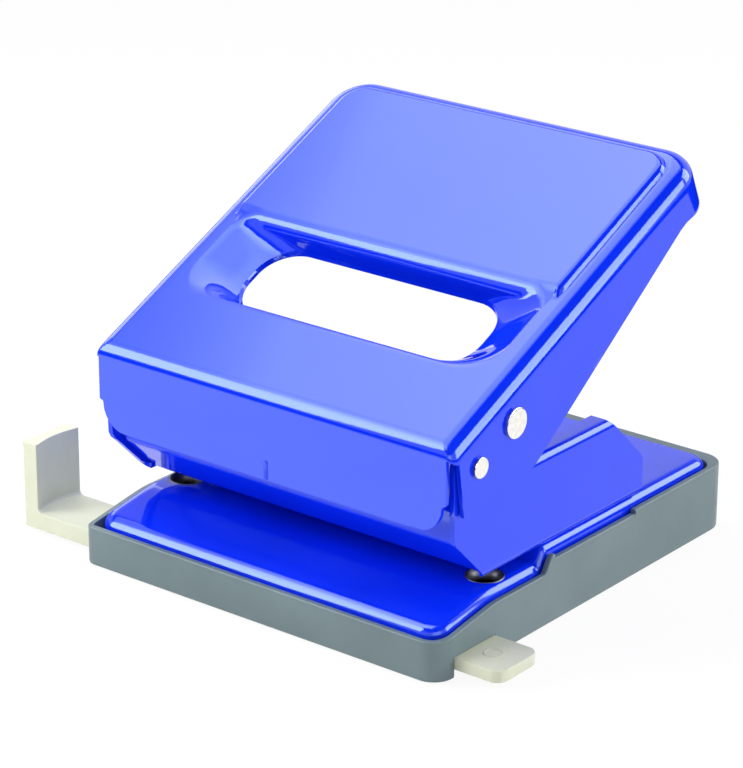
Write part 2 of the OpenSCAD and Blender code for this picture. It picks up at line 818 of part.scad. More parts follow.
// ring along the bend and the flanges: f is the turned angle, down the length past the bend
function edge_half_ring(f, down) =
    let (e = side_bend * (1 - sin(f)),
        w = panel_rise - side_bend * (1 - cos(f)) - down,
        turn = (90 - handle_slope) / 90 * f,
        bend_w = panel_rise - front_bend,
        bend_v = (apron_y + front_bend - panel_y + bend_w * sin(handle_slope)) / cos(handle_slope),
        v0 = bend_v - front_bend * sin(turn) - down * sin(handle_slope),
        w0 = bend_w + front_bend * cos(turn) - down * cos(handle_slope),
        rf = 1.6 - e / 8,
        a = flange_out - e,
        ring = outer_half_ring(a, a, v0, handle_reach - e, rf, handle_corner - e, w, w))
    [for (j = [0 : len(ring) - 1])
        let (front = 1 - ease((j - nF) / nC),
            k = clamp01((j - nF - nC - nL - nP - nU) / nR),
            wider = (rear_bend - side_bend) * ease(k),
            inset = wider * (1 - sin(f)),
            fall = wider * (1 - cos(f)))
        [ring[j][0] - inset * cos(90 * k),
            ring[j][1] - inset * sin(90 * k),
            mix(ring[j][2] - fall, w0, front)]];

module handle_sheet() {
    top = panel_rise;
    pad = top + pad_h;
    lip = top - slot_sink;
    s = slot_half;
    f = slot_front;
    b = slot_rear;
    r = slot_r;
    df = f - scoop_front;
    ds = scoop_half - s;
    dr = pad_front - b;
    up = [for (k = [0.42, 0.19, 0.76, 0.46, 0.93, 0.76, 0.94]) mix(lip, top, k)];
    over = [for (k = [0.3, 0.6, 0.8, 0.94]) mix(lip, pad, k)];
    slot_rings = [
        slot_half_ring(s - 0.4, f + 0.3, b - 0.2, r - 0.3, r - 0.3, lip - 1.1, lip - 1.1, lip - 1.1),
        slot_half_ring(s, f, b, r, r, lip, lip, lip),
        slot_half_ring(s + 0.22 * ds, f - 0.25 * df, b + 0.02, r + 0.5, r - 0.4, up[0], up[1], over[0]),
        slot_half_ring(s + 0.48 * ds, f - 0.50 * df, b + 0.04, r + 1.2, r - 1.5, up[2], up[3], over[1]),
        slot_half_ring(s + 0.76 * ds, f - 0.74 * df, b + 0.10 * dr, r + 1.8, r - 3.2, up[4], up[5], over[2]),
        slot_half_ring(s + 0.92 * ds, f - df, b + 0.50 * dr, r + 1.6, r - 4.5, top - 0.03, up[6], over[3]),
        slot_half_ring(s + ds, f - df - 0.9, b + dr, r + 1.0, r - 5.1, top, top, pad)];
    pad_rings = [for (i = [0 : 3])
        let (a = 25 * i, e = pad_edge * sin(a) / sin(75), fall = pad_h * (1 - cos(a)) / (1 - cos(75)))
        outer_half_ring(scoop_half + 0.3 + 0.3 * i, pad_half + e, scoop_front - 1.6 - 1.2 * i, pad_rear + e,
            10 - i, 4.5 + e, top, pad - fall)];
    bend_rings = [for (i = [0 : 5]) edge_half_ring(18 * i, 0)];
    flange_rings = [edge_half_ring(90, flange_depth + 1.8)];
    ring_shell([for (h = concat(slot_rings, pad_rings, bend_rings, flange_rings)) mirrored(h)], handle_t);
}

// what is cut away below the side flanges, (v, w)
module flange_cut() {
    low = panel_rise - flange_depth;
    rear = handle_reach;
    polygon([[-30, low + 3.4], [-8.2, low + 6.5], [5.6, low + 1.4], [8.5, low + 0.6], [14.1, low],
        [17.2, low + 0.6], [rear - 12.2, 0.0], [rear - 7, -0.8], [far, -0.8], [far, -far], [-30, -far]]);
}

// slit between apron and side flanges, (v, w)
module slit_cut() {
    polygon([[-4.5, 8.3], [-8.1, -5.0], [-8.1, -far], [-far, -far], [-far, 8.6], [-6.6, 8.6]]);
}

module into_handle() {
    translate([0, panel_y, panel_z]) rotate([handle_slope, 0, 0]) children();
}

// what is cut away beside the lower part of the apron, right side, (x, z)
module apron_side() {
    half = flange_in - 0.35 - apron_step;
    difference() {
        translate([half - apron_r, apron_bottom_z - far]) square([far, apron_step_z - apron_bottom_z + far]);
        translate([half - apron_r, apron_bottom_z + apron_r]) circle(r = apron_r);
        translate([half - 2 * apron_r, apron_bottom_z + apron_r]) square([2 * apron_r, far]);
    }
}

module handle() {
    apron_half = flange_in - 0.35;
    flange_front = -9.2;
    mark_r = 0.65;
    mark_h = 4.2;
    color(ENAMEL)
        difference() {
            union() {
                difference() {
                    into_handle() handle_sheet();
                    into_handle()
                        difference() {
                            along_x(far) flange_cut();
                            translate([-far, flange_front - 2 * far, -far]) cube(2 * far);
                        }
                    for (s = [-1, 1])
                        into_handle() translate([s * (apron_half + far / 2), 0, 0]) along_x(far) slit_cut();
                    // lower edge and corners of the apron
                    translate([-far, -far, apron_bottom_z - 2 * far]) cube(2 * far);
                    for (s = [0, 1])
                        mirror([s, 0, 0]) translate([0, apron_y + 2 * handle_t, 0]) rotate([90, 0, 0])
                            linear_extrude(height = far) apron_side();
                }
                // centring mark on the apron
                translate([0, apron_y + 0.35, apron_bottom_z + 0.2])
                    cylinder(r = mark_r, h = mark_h, $fn = 24);
            }
            translate([0, fulcrum_y, fulcrum_z]) rotate([0, 90, 0])
                cylinder(d = fulcrum_d + 2 * fulcrum_fit, h = far, center = true);
            translate([0, shaft_y, shaft_z]) rotate([0, 90, 0])
                cylinder(d = shaft_d, h = far, center = true);
        }
}

// PUNCHES AND SPRINGS

module punch(side) {
    r = punch_d / 2;
    g = groove_d / 2;
    hollow = 2.2;
    low = clip_z - 0.02;
    high = clip_z + clip_t + 0.02;
    color(STEEL)
        translate([side * punch_x, punch_y, 0])
            difference() {
                rotate_extrude()
                    polygon([[0, punch_bottom], [r, punch_bottom], [r, low], [g, low], [g, high], [r, high],
                        [r, punch_top - 0.5], [r - 0.5, punch_top], [0, punch_top]]);
                // hollow cutting end
                translate([0, 0, punch_bottom - 1]) rotate([90, 0, 0])
                    cylinder(r = hollow, h = 3 * punch_d, center = true);
            }
}

module left_punch() { punch(-1); }
module right_punch() { punch(1); }

// spring: one unbroken tube of round wire, ends laid straight for one wire diameter
spring_rings = 8;
spring_sides = 6;

function spring_path() =
    let (n = curls * spring_rings, r = coil_d / 2, z0 = wire_d / 2 + 0.02, rise = spring_h - wire_d - 0.04,
        body = [for (i = [0 : n])
            let (k = i / n, a = 360 * curls * k)
            [r * cos(a), r * sin(a), z0 + rise * mix(k, ease(k), 0.35)]],
        first = body[0] - wire_d * unit(body[1] - body[0]),
        last = body[n] + wire_d * unit(body[n] - body[n - 1]))
    concat([[first[0], first[1], z0]], body, [[last[0], last[1], z0 + rise]]);

function spring_tube() =
    let (path = spring_path(), n = len(path))
    [for (i = [0 : n - 1])
        let (t = unit(path[min(n - 1, i + 1)] - path[max(0, i - 1)]),
            level = [path[i][0], path[i][1], 0],
            out = unit(level - t * (t * level)),
            up = cross(t, out))
        [for (s = [0 : spring_sides - 1])
            let (a = 360 * s / spring_sides + 30)
            path[i] + wire_d / 2 * (cos(a) * out + sin(a) * up)]];

// least distance between neighbouring curls, measured on the path
function spring_gap() =
    let (path = spring_path(), n = len(path))
    min([for (i = [0 : n - 1]) for (j = [i + 5 : 1 : n - 1]) norm(path[i] - path[j])]) - wire_d;

module spring(side) {
    tube = spring_tube();
    n = len(tube);
    m = spring_sides;
    e = (n - 1) * m;
    walls = [for (i = [0 : n - 2]) for (s = [0 : m - 1])
        let (a = i * m + s, b = i * m + (s + 1) % m)
        each [[a, a + m, b], [b, a + m, b + m]]];
    caps = [for (s = [1 : m - 2]) each [[0, s, s + 1], [e, e + s + 1, e + s]]];
    color(STEEL)
        translate([side * punch_x, punch_y, carrier_top_z])
            polyhedron(points = flat(tube), faces = concat(walls, caps), convexity = 10);
}

module left_spring() { spring(-1); }
module right_spring() { spring(1); }
echo(spring_gap = spring_gap());

module spring_seat(side) {
    bore = punch_d / 2 + 0.06;
    r = seat_d / 2;
    color(STEEL)
        translate([side * punch_x, punch_y, seat_z])
            rotate_extrude()
                polygon([[bore, 0], [r, 0], [r, seat_t - 0.2], [r - 0.2, seat_t], [bore, seat_t]]);
}

module left_spring_seat() { spring_seat(-1); }
module right_spring_seat() { spring_seat(1); }

module clip(side) {
    mouth = groove_d - 0.7;
    color(DARK_STEEL)
        translate([side * punch_x, punch_y, clip_z])
            difference() {
                cylinder(d = seat_d - 0.4, h = clip_t);
                translate([0, 0, -1]) cylinder(d = groove_d, h = clip_t + 2);
                // mouth through which the clip is pushed on
                translate([-mouth / 2, 0, -1]) cube([mouth, seat_d, clip_t + 2]);
            }
}

module left_clip() { clip(-1); }
module right_clip() { clip(1); }

chip_tray();
guide_bar();
base_plate();
left_die();
right_die();
frame();
frame_rivets();
punch_carrier();
carrier_rivets();
left_fulcrum_pin();
right_fulcrum_pin();
handle();
press_shaft();
left_punch();
right_punch();
left_spring();
right_spring();
left_spring_seat();
right_spring_seat();
left_clip();
right_clip();
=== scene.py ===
# %% [markdown]
# # Dressing a two-hole desk punch
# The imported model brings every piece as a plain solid, in metres, with Z up and the tray standing
# on the floor. We keep those places and sizes, and give each piece the rolled edges and the finish
# that the eye expects. One could paint the solids as they are, or sculpt them by hand. Here each
# piece is built again from the few numbers that shape it, because pressed sheet and turned pins
# are easiest to describe by their outlines and bends.

import math

import bmesh
import bpy
import numpy as np
from mathutils import Matrix, Vector


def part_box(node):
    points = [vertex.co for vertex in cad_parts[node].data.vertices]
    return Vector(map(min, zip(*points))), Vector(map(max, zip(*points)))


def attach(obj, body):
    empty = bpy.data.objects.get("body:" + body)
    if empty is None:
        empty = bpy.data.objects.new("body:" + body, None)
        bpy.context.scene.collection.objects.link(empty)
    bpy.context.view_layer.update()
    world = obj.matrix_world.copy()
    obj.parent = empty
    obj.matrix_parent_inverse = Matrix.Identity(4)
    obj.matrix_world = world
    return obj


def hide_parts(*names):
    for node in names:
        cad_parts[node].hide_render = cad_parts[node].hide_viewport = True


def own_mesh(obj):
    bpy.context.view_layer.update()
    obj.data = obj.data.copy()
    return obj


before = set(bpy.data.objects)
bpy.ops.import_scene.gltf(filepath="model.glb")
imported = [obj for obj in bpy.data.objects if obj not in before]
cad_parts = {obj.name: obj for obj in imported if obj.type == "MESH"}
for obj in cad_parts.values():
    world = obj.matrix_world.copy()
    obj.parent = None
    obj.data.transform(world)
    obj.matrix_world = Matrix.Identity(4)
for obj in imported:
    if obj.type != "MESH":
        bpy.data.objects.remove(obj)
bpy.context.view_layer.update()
scene = bpy.context.scene
MM = 0.001

# %% [markdown]
# ## Colours and nodes
# Colours are written the way a painter's chart gives them, as sRGB hex values, and the renderer
# wants linear light, so one function turns the first into the second. Materials are node trees.
# A single helper adds a node, fills in its sockets, settings and colour stops, and links it to
# what feeds it.

# %% Colour and node helpers
def linear(chart):
    # the two branches of the sRGB standard
    parts = [int(chart[i:i + 2], 16) / 255 for i in (1, 3, 5)]
    return tuple(p / 12.92 if p <= 0.04045 else ((p + 0.055) / 1.055) ** 2.4 for p in parts) + (1.0,)


def add(tree, kind, values=None, links=None, stops=()):
    node = tree.nodes.new(kind)
    for key, value in (values or {}).items():
        if isinstance(key, int) or key in node.inputs:
            node.inputs[key].default_value = value
        else:
            setattr(node, key, value)
    for key, source in (links or {}).items():
        tree.links.new(source, node.inputs[key])
    if stops:
        ramp = node.color_ramp.elements
        for stop, (place, colour) in zip(ramp, (stops[0], stops[-1])):
            stop.position = place
            stop.color = colour
        for place, colour in stops[1:-1]:
            ramp.new(place).color = colour
    return node


def per_metre(size_mm):
    return 1000 / size_mm


def new_material(name):
    material = bpy.data.materials.new(name)
    material.use_nodes = True
    material.node_tree.nodes.clear()
    return material, material.node_tree


def mottle(tree, place, size_mm, detail, dark, light, reach=(0.3, 0.7)):
    # a noise with patches of a real size, and the two tones that it moves between
    noise = add(tree, "ShaderNodeTexNoise", {"Scale": per_metre(size_mm), "Detail": detail},
                {"Vector": place})
    tone = add(tree, "ShaderNodeValToRGB", links={"Fac": noise.outputs["Fac"]},
               stops=((reach[0], linear(dark)), (reach[1], linear(light))))
    return noise.outputs["Fac"], tone.outputs["Color"]


print("mid blue in linear light:", [round(c, 3) for c in linear("#3050F0")])

# %% [markdown]
# ## Stove enamel
# Handle, frame and plate are sheet steel with a blue enamel that was sprayed on and baked. The
# pigment is very saturated, and over it lies a hard clear gloss, so most of what we see is the
# studio mirrored in it: pale where a lamp or the floor is mirrored, deep blue where nothing is.
# Sprayed enamel has a faint orange peel. Its waves are about 2 mm long and very shallow. Baked
# lacquer mirrors a good twentieth of the light that falls straight on it, and more at a flat
# angle. The pigment tints that mirror a little cold.

# %% Material: blue stove enamel
CLOUD_MM = 30
PEEL_MM = 2.0
PEEL_DEPTH = 0.1 * MM
PEEL_STRENGTH = 0.03
LEAST_HAZE = 0.04
MOST_HAZE = 0.08
LACQUER_INDEX = 1.6

enamel, tree = new_material("stove_enamel_blue_sprayed")
place = add(tree, "ShaderNodeTexCoord").outputs["Object"]
cloud, colour = mottle(tree, place, CLOUD_MM, 2.0, "#0429DE", "#062DEA", reach=(0.35, 0.65))
peel = add(tree, "ShaderNodeTexNoise", {"Scale": per_metre(PEEL_MM), "Detail": 1.0}, {"Vector": place})
wave = add(tree, "ShaderNodeBump", {"Strength": PEEL_STRENGTH, "Distance": PEEL_DEPTH},
           {"Height": peel.outputs["Fac"]})
haze = add(tree, "ShaderNodeMapRange", {"To Min": LEAST_HAZE, "To Max": MOST_HAZE}, {"Value": cloud})
paint = add(tree, "ShaderNodeBsdfPrincipled",
            {"IOR": LACQUER_INDEX, "Specular IOR Level": 0.56, "Specular Tint": linear("#DDFFFF")},
            {"Base Color": colour, "Roughness": haze.outputs["Result"], "Normal": wave.outputs["Normal"]})
add(tree, "ShaderNodeOutputMaterial", links={"Surface": paint.outputs["BSDF"]})
print(enamel.name, len(tree.nodes), "nodes")

# %% [markdown]
# ## Moulded plastics
# Tray and paper guide are injection moulded. The grey tray is ABS from a lightly eroded mould, so
# its skin is satin with a fine grain. The ivory guide is polypropylene: a little waxy, smoother,
# and slightly cloudy in colour. The grain is about 0.25 mm on the real tray. It is drawn at
# 0.6 mm here, because finer grain doesn't show in the picture.

# %% Materials: grey ABS and ivory polypropylene
FLOW_MM = 18
GRAIN_DEPTH = 0.1 * MM
PLASTIC_INDEX = 1.5
SATIN_SPREAD = 0.05


def moulded(name, dark, light, grain_mm, depth, rough, gloss):
    material, tree = new_material(name)
    place = add(tree, "ShaderNodeTexCoord").outputs["Object"]
    _, colour = mottle(tree, place, FLOW_MM, 3.0, dark, light)
    grain = add(tree, "ShaderNodeTexNoise", {"Scale": per_metre(grain_mm), "Detail": 2.0}, {"Vector": place})
    skin = add(tree, "ShaderNodeBump", {"Strength": depth, "Distance": GRAIN_DEPTH},
               {"Height": grain.outputs["Fac"]})
    satin = add(tree, "ShaderNodeMapRange", {"To Min": rough - SATIN_SPREAD, "To Max": rough + SATIN_SPREAD},
                {"Value": grain.outputs["Fac"]})
    body = add(tree, "ShaderNodeBsdfPrincipled", {"IOR": PLASTIC_INDEX, "Specular IOR Level": gloss},
               {"Base Color": colour, "Roughness": satin.outputs["Result"], "Normal": skin.outputs["Normal"]})
    add(tree, "ShaderNodeOutputMaterial", links={"Surface": body.outputs["BSDF"]})
    return material


grey_abs = moulded("abs_grey_moulded", "#5E7074", "#697B7F",
                   grain_mm=0.6, depth=0.25, rough=0.42, gloss=0.5)
ivory_pp = moulded("polypropylene_ivory_moulded", "#C4C7B0", "#CED1BC",
                   grain_mm=0.9, depth=0.08, rough=0.42, gloss=0.3)
print(grey_abs.name, ivory_pp.name)

# %% [markdown]
# ## Steels
# Pins and rivets are nickel plated: bright, nearly white, with faint rings from the lathe. The
# punches and dies are hardened and ground and crossed by fine grinding lines. Their colour is
# painted darker than ground steel's own, as painted shade, so that the dies read dark in the shade
# below the cheeks. The carrier is black from its bath of hot oil, and the springs are drawn wire
# with lines along it.
# All of them are metal through and through, so their colour is the colour of the mirror.

# %% Materials: nickel plate, ground steel, oiled steel, drawn wire
LINE_DEPTH = 0.05 * MM
SHINE_SPREAD = 0.06


def steel(name, dark, light, rough, line_mm, stretch, depth):
    material, tree = new_material(name)
    place = add(tree, "ShaderNodeTexCoord")
    drawn = add(tree, "ShaderNodeMapping", {"Scale": stretch}, {"Vector": place.outputs["Object"]})
    line, colour = mottle(tree, drawn.outputs["Vector"], line_mm, 2.0, dark, light)
    shine = add(tree, "ShaderNodeMapRange", {"To Min": rough - SHINE_SPREAD, "To Max": rough + SHINE_SPREAD},
                {"Value": line})
    cut = add(tree, "ShaderNodeBump", {"Strength": depth, "Distance": LINE_DEPTH}, {"Height": line})
    metal = add(tree, "ShaderNodeBsdfPrincipled", {"Metallic": 1.0},
                {"Base Color": colour, "Roughness": shine.outputs["Result"], "Normal": cut.outputs["Normal"]})
    add(tree, "ShaderNodeOutputMaterial", links={"Surface": metal.outputs["BSDF"]})
    return material


nickel = steel("nickel_plated_turned", "#F0EEE8", "#FFFEFA",
               rough=0.2, line_mm=1.2, stretch=(0.4, 1.0, 1.0), depth=0.03)
# the ground steel's colour is set darker than the steel's own, as painted shade, so that the dies read dark
# in the shade under the cheeks
ground = steel("tool_steel_ground_painted_shade", "#66686B", "#7A7C80",
               rough=0.42, line_mm=0.5, stretch=(1.0, 1.0, 0.15), depth=0.04)
oiled = steel("sheet_steel_oil_blackened", "#3E4144", "#55585C",
              rough=0.38, line_mm=0.8, stretch=(0.2, 1.0, 1.0), depth=0.2)
wire = steel("spring_wire_drawn", "#8D8F92", "#B0B2B4",
             rough=0.3, line_mm=0.4, stretch=(1.0, 1.0, 0.6), depth=0.1)
print([m.name for m in (nickel, ground, oiled, wire)])

# %% [markdown]
# ## From outline to piece
# Points are written in millimetres and turned to metres once. A piece then gets its modifiers,
# which are settled into the mesh so that sharp edges can be told from bends by their angle. Last
# it takes its material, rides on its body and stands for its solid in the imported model.

# %% Piece helpers
WELD = 1e-7


def mix(a, b, k):
    return a + (b - a) * k


def ease(k):
    k = min(1.0, max(0.0, k))
    return (1 - math.cos(math.pi * k)) / 2


def placed(name, data):
    piece = bpy.data.objects.new(name, data)
    scene.collection.objects.link(piece)
    return piece


def piece_from(name, points, faces):
    mesh = bpy.data.meshes.new(name)
    mesh.from_pydata([(x * MM, y * MM, z * MM) for x, y, z in points], [], faces)
    bm = bmesh.new()
    bm.from_mesh(mesh)
    bmesh.ops.delete(bm, geom=[v for v in bm.verts if not v.link_faces], context="VERTS")
    bmesh.ops.remove_doubles(bm, verts=bm.verts, dist=WELD)
    bm.to_mesh(mesh)
    bm.free()
    return placed(name, mesh)


def face_outwards(piece):
    bm = bmesh.new()
    bm.from_mesh(piece.data)
    bmesh.ops.recalc_face_normals(bm, faces=bm.faces)
    # the sum is positive when most faces look away from the middle
    outwards = sum(f.normal.x * f.calc_center_median().x * f.calc_area() for f in bm.faces)
    if outwards < 0:
        bmesh.ops.reverse_faces(bm, faces=bm.faces)
    bm.to_mesh(piece.data)
    bm.free()


def thicken(piece, thickness_mm):
    solid = piece.modifiers.new("sheet", "SOLIDIFY")
    solid.thickness = thickness_mm * MM
    solid.offset = -1.0
    solid.use_even_offset = True
    solid.use_quality_normals = True


def soften(piece, width_mm, angle=40, segments=2):
    edge = piece.modifiers.new("edges", "BEVEL")
    edge.width = width_mm * MM
    edge.segments = segments
    edge.limit_method = "ANGLE"
    edge.angle_limit = math.radians(angle)
    edge.harden_normals = False


def keep_shape(piece):
    graph = bpy.context.evaluated_depsgraph_get()
    mesh = bpy.data.meshes.new_from_object(piece.evaluated_get(graph))
    piece.modifiers.clear()
    piece.data = mesh


def settle(piece, angle=38):
    keep_shape(piece)
    piece.data.shade_smooth()
    piece.data.set_sharp_from_angle(angle=math.radians(angle))


def level(piece):
    # large faces decide the shading at their borders, so flat sheet looks flat up to its bends
    weigh = piece.modifiers.new("level", "WEIGHTED_NORMAL")
    weigh.keep_sharp = True
    weigh.weight = 100
    keep_shape(piece)


def hand_over(piece, node, body, material):
    piece.data.materials.clear()
    piece.data.materials.append(material)
    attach(piece, body)
    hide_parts(node)
    low, high = (np.array(corner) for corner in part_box(node))
    here = np.array([v.co for v in piece.data.vertices])
    off = max(np.abs(here.min(0) - low).max(), np.abs(here.max(0) - high).max()) / MM
    print(f"{piece.name}: {len(piece.data.polygons)} faces, {off:.2f} mm from its solid's box")


print("points closer than", WELD, "m are welded")

# %% [markdown]
# ## Turned pieces and drilled holes
# Pins, rivets, dies and punches come off a lathe, so each is half a profile, spun about its axis.
# Holes are drilled as in the workshop: a round cutter, and a Boolean that takes it away.

# %% Lathe and drill
X_AXIS = (1, 0, 0)
Y_AXIS = (0, 1, 0)
Z_AXIS = (0, 0, 1)
# half the length of a drill that goes through the whole punch
ALL_THROUGH = 60


def piece_of(name, bm):
    mesh = bpy.data.meshes.new(name)
    bm.to_mesh(mesh)
    bm.free()
    return placed(name, mesh)


def turned(name, profile, centre, axis, closed=False, steps=72):
    bm = bmesh.new()
    along = Vector(axis)
    across = Vector(Z_AXIS) if abs(along.x) > 0.5 else Vector(X_AXIS)
    ring = [bm.verts.new((Vector(centre) + along * h + across * r) * MM) for r, h in profile]
    pairs = list(zip(ring, ring[1:])) + ([(ring[-1], ring[0])] if closed else [])
    edges = [bm.edges.new(pair) for pair in pairs]
    bmesh.ops.spin(bm, geom=ring + edges, cent=Vector(centre) * MM, axis=along, angle=2 * math.pi,
                   steps=steps, use_merge=True)
    bmesh.ops.remove_doubles(bm, verts=bm.verts, dist=WELD)
    bmesh.ops.recalc_face_normals(bm, faces=bm.faces)
    return piece_of(name, bm)


def cut_away(piece, cutter, operation="DIFFERENCE"):
    boolean = piece.modifiers.new("cut", "BOOLEAN")
    boolean.object = cutter
    boolean.operation = operation
    boolean.solver = "EXACT"
    settle(piece)
    bpy.data.objects.remove(cutter)


def join(name, pieces):
    bm = bmesh.new()
    for piece in pieces:
        bm.from_mesh(piece.data)
        bpy.data.objects.remove(piece)
    return piece_of(name, bm)


def drills(places, radius, axis, half_length=4.0):
    ends = [(0, -half_length), (radius, -half_length), (radius, half_length), (0, half_length)]
    return join("drill", [turned("drill", ends, p, axis, steps=48) for p in places])


print("lathe and drill ready")

# %% [markdown]
# ## The handle
# The handle is one blank of 1 mm steel, drawn in a press: a sloping panel, a slot for the fingers
# with its edge pushed down, a raised pad behind it, and a border that is folded down all round. It
# is described by closed rings that run from the slot outwards. Each ring is half an outline and
# its mirror image. The handle's own frame leans back by 25 degrees: v runs up the slope, w stands
# on it. A subdivided box would need many loops to hold these radii, and rings give them directly.

# %% Handle: half rings around the slot and around the border
SLOPE = math.radians(25)
# steps along half a ring: front, front corner, low side, rise to the pad, pad side, rear corner, back
FRONT, CORNER, LOW, RISE, UP, REAR, BACK = 14, 10, 30, 12, 16, 18, 14
RISE_AT = FRONT + CORNER + LOW
REAR_AT = RISE_AT + RISE + UP
HALF = REAR_AT + REAR + BACK
# heights above the slope
PANEL = 10.2
PAD = 11.7
LIP = 5.5
# the lines between which a ring changes from the panel to the pad
RISE_FROM = 37.8
RISE_TO = 41.6


def arc(centre_x, centre_y, radius, start, end, steps):
    turns = [math.radians(mix(start, end, i / steps)) for i in range(steps)]
    return [(centre_x + radius * math.cos(a), centre_y + radius * math.sin(a)) for a in turns]


def run(start, end, steps):
    return [(mix(start[0], end[0], i / steps), mix(start[1], end[1], i / steps)) for i in range(steps)]


def slot_half(half, front, rear, front_round, rear_round, w_front, w_side, w_rear):
    plan = run((0, front), (half - front_round, front), FRONT)
    plan += arc(half - front_round, front + front_round, front_round, -90, 0, CORNER)
    plan += run((half, front + front_round), (half, rear - rear_round), LOW)
    plan += arc(half - rear_round, rear - rear_round, rear_round, 0, 90, RISE)
    plan += run((half - rear_round, rear), (0, rear), UP + REAR + BACK) + [(0, rear)]
    ring = []
    for j, (x, v) in enumerate(plan):
        w = mix(w_front, w_side, ease((j - FRONT) / CORNER))
        ring.append((x, v, mix(w, w_rear, ease((j - RISE_AT) / RISE))))
    return np.array(ring)


def border_half(half, pad_half, front, rear, front_round, rear_round, w_low, w_high):
    plan = run((0, front), (half - front_round, front), FRONT)
    plan += arc(half - front_round, front + front_round, front_round, -90, 0, CORNER)
    plan += run((half, front + front_round), (half, RISE_FROM), LOW)
    plan += run((half, RISE_FROM), (pad_half, RISE_TO), RISE)
    plan += run((pad_half, RISE_TO), (pad_half, rear - rear_round), UP)
    plan += arc(pad_half - rear_round, rear - rear_round, rear_round, 0, 90, REAR)
    plan += run((pad_half - rear_round, rear), (0, rear), BACK) + [(0, rear)]
    return np.array([(x, v, mix(w_low, w_high, ease((j - RISE_AT) / RISE))) for j, (x, v) in enumerate(plan)])


print("points in half a ring:", HALF + 1)

# %% Handle: the fold of the border, at a turned angle from 0 to 90 degrees
SIDE_BEND = 4.0
REAR_BEND = 3.9
FRONT_BEND = 4.0
# outer faces of the flanges, the rear border and the apron
FLANGE_X = 47.2
REACH = 88.3
APRON_Y = -46.7
# the apron hangs upright below a leaning panel, so it is folded by less than a right angle
APRON_TURN = 65
# corners of the folded border
FRONT_ROUND = 1.6
REAR_ROUND = 9
# where the handle's own frame starts
PANEL_Y = -37.0
PANEL_Z = 42.3


def fold_half(degrees):
    angle = math.radians(degrees)
    # per unit of radius, how far the arc still has to go outwards and how far it has come down
    short = 1 - math.sin(angle)
    down = 1 - math.cos(angle)
    inset = SIDE_BEND * short
    w = PANEL - SIDE_BEND * down
    turn = angle * APRON_TURN / 90
    bend_w = PANEL - FRONT_BEND
    bend_v = (APRON_Y + FRONT_BEND - PANEL_Y + bend_w * math.sin(SLOPE)) / math.cos(SLOPE)
    front_v = bend_v - FRONT_BEND * math.sin(turn)
    front_w = bend_w + FRONT_BEND * math.cos(turn)
    half = FLANGE_X - inset
    # towards the panel the rear corner tightens by the inset, the front corner by an eighth of it
    ring = border_half(half, half, front_v, REACH - inset, FRONT_ROUND - inset / 8, REAR_ROUND - inset, w, w)
    for j in range(HALF + 1):
        k = min(1, max(0, (j - REAR_AT) / REAR))
        wider = (REAR_BEND - SIDE_BEND) * ease(k)
        ring[j][0] -= wider * short * math.cos(math.pi / 2 * k)
        ring[j][1] -= wider * short * math.sin(math.pi / 2 * k)
        ring[j][2] = mix(ring[j][2] - wider * down, front_w, 1 - ease((j - FRONT) / CORNER))
    return ring


print("border at the end of its fold:", np.round(fold_half(90)[[0, RISE_AT, HALF]], 2).tolist())

# %% [markdown]
# ## From rings to a skin
# The drawn shape between slot and pad has to flow, so a smooth curve is laid through six rings
# around the slot, point by point. It ends level with the panel. Inside them one more ring is the
# cut edge, which is turned down. The pad's edge turns down in an arc and meets the panel at an
# angle, and the border follows the arc of its fold.

# %% Handle: the rings of the drawn panel
SLOT_HALF = 31.0
SLOT_FRONT = 17.4
SLOT_REAR = 37.4
SLOT_ROUND = 8.5
# how far the scoop reaches beyond the slot
SCOOP_SIDE = 10.0
SCOOP_FRONT = 3.1
# the turned-down edge lies a little inside the slot's outline, and below it
EDGE_HALF = SLOT_HALF - 0.4
EDGE_FRONT = SLOT_FRONT + 0.3
EDGE_REAR = SLOT_REAR - 0.2
EDGE_ROUND = SLOT_ROUND - 0.3
EDGE_W = LIP - 1.1
# for each ring of the scoop: share of the way to the side and to the front, way to the rear in mm,
# share of the rise in front, at the side and behind, change of the front and rear corners in mm
STAGES = [
    (0.22, 0.25, 0.03, 0.42, 0.19, 0.25, 0.5, -1.2),
    (0.48, 0.50, 0.10, 0.76, 0.46, 0.48, 1.2, -3.0),
    (0.76, 0.74, 0.42, 0.93, 0.76, 0.68, 1.8, -4.0),
    (0.92, 1.00, 1.60, 0.99, 0.94, 0.89, 1.6, -3.6),
    (1.00, 1.29, 3.60, 1.00, 1.00, 1.00, 1.0, -2.6),
]
FLOW_STEPS = 5
# keeps the curve's slope finite where two rings touch
TINY_GAP = 1e-6

cut_edge = slot_half(EDGE_HALF, EDGE_FRONT, EDGE_REAR, EDGE_ROUND, EDGE_ROUND, EDGE_W, EDGE_W, EDGE_W)
scoop = [slot_half(SLOT_HALF, SLOT_FRONT, SLOT_REAR, SLOT_ROUND, SLOT_ROUND, LIP, LIP, LIP)]
for out, on, back, front, side, rear, wide, tight in STAGES:
    scoop.append(slot_half(SLOT_HALF + out * SCOOP_SIDE, SLOT_FRONT - on * SCOOP_FRONT, SLOT_REAR + back,
                           SLOT_ROUND + wide, SLOT_ROUND + tight,
                           mix(LIP, PANEL, front), mix(LIP, PANEL, side), mix(LIP, PAD, rear)))


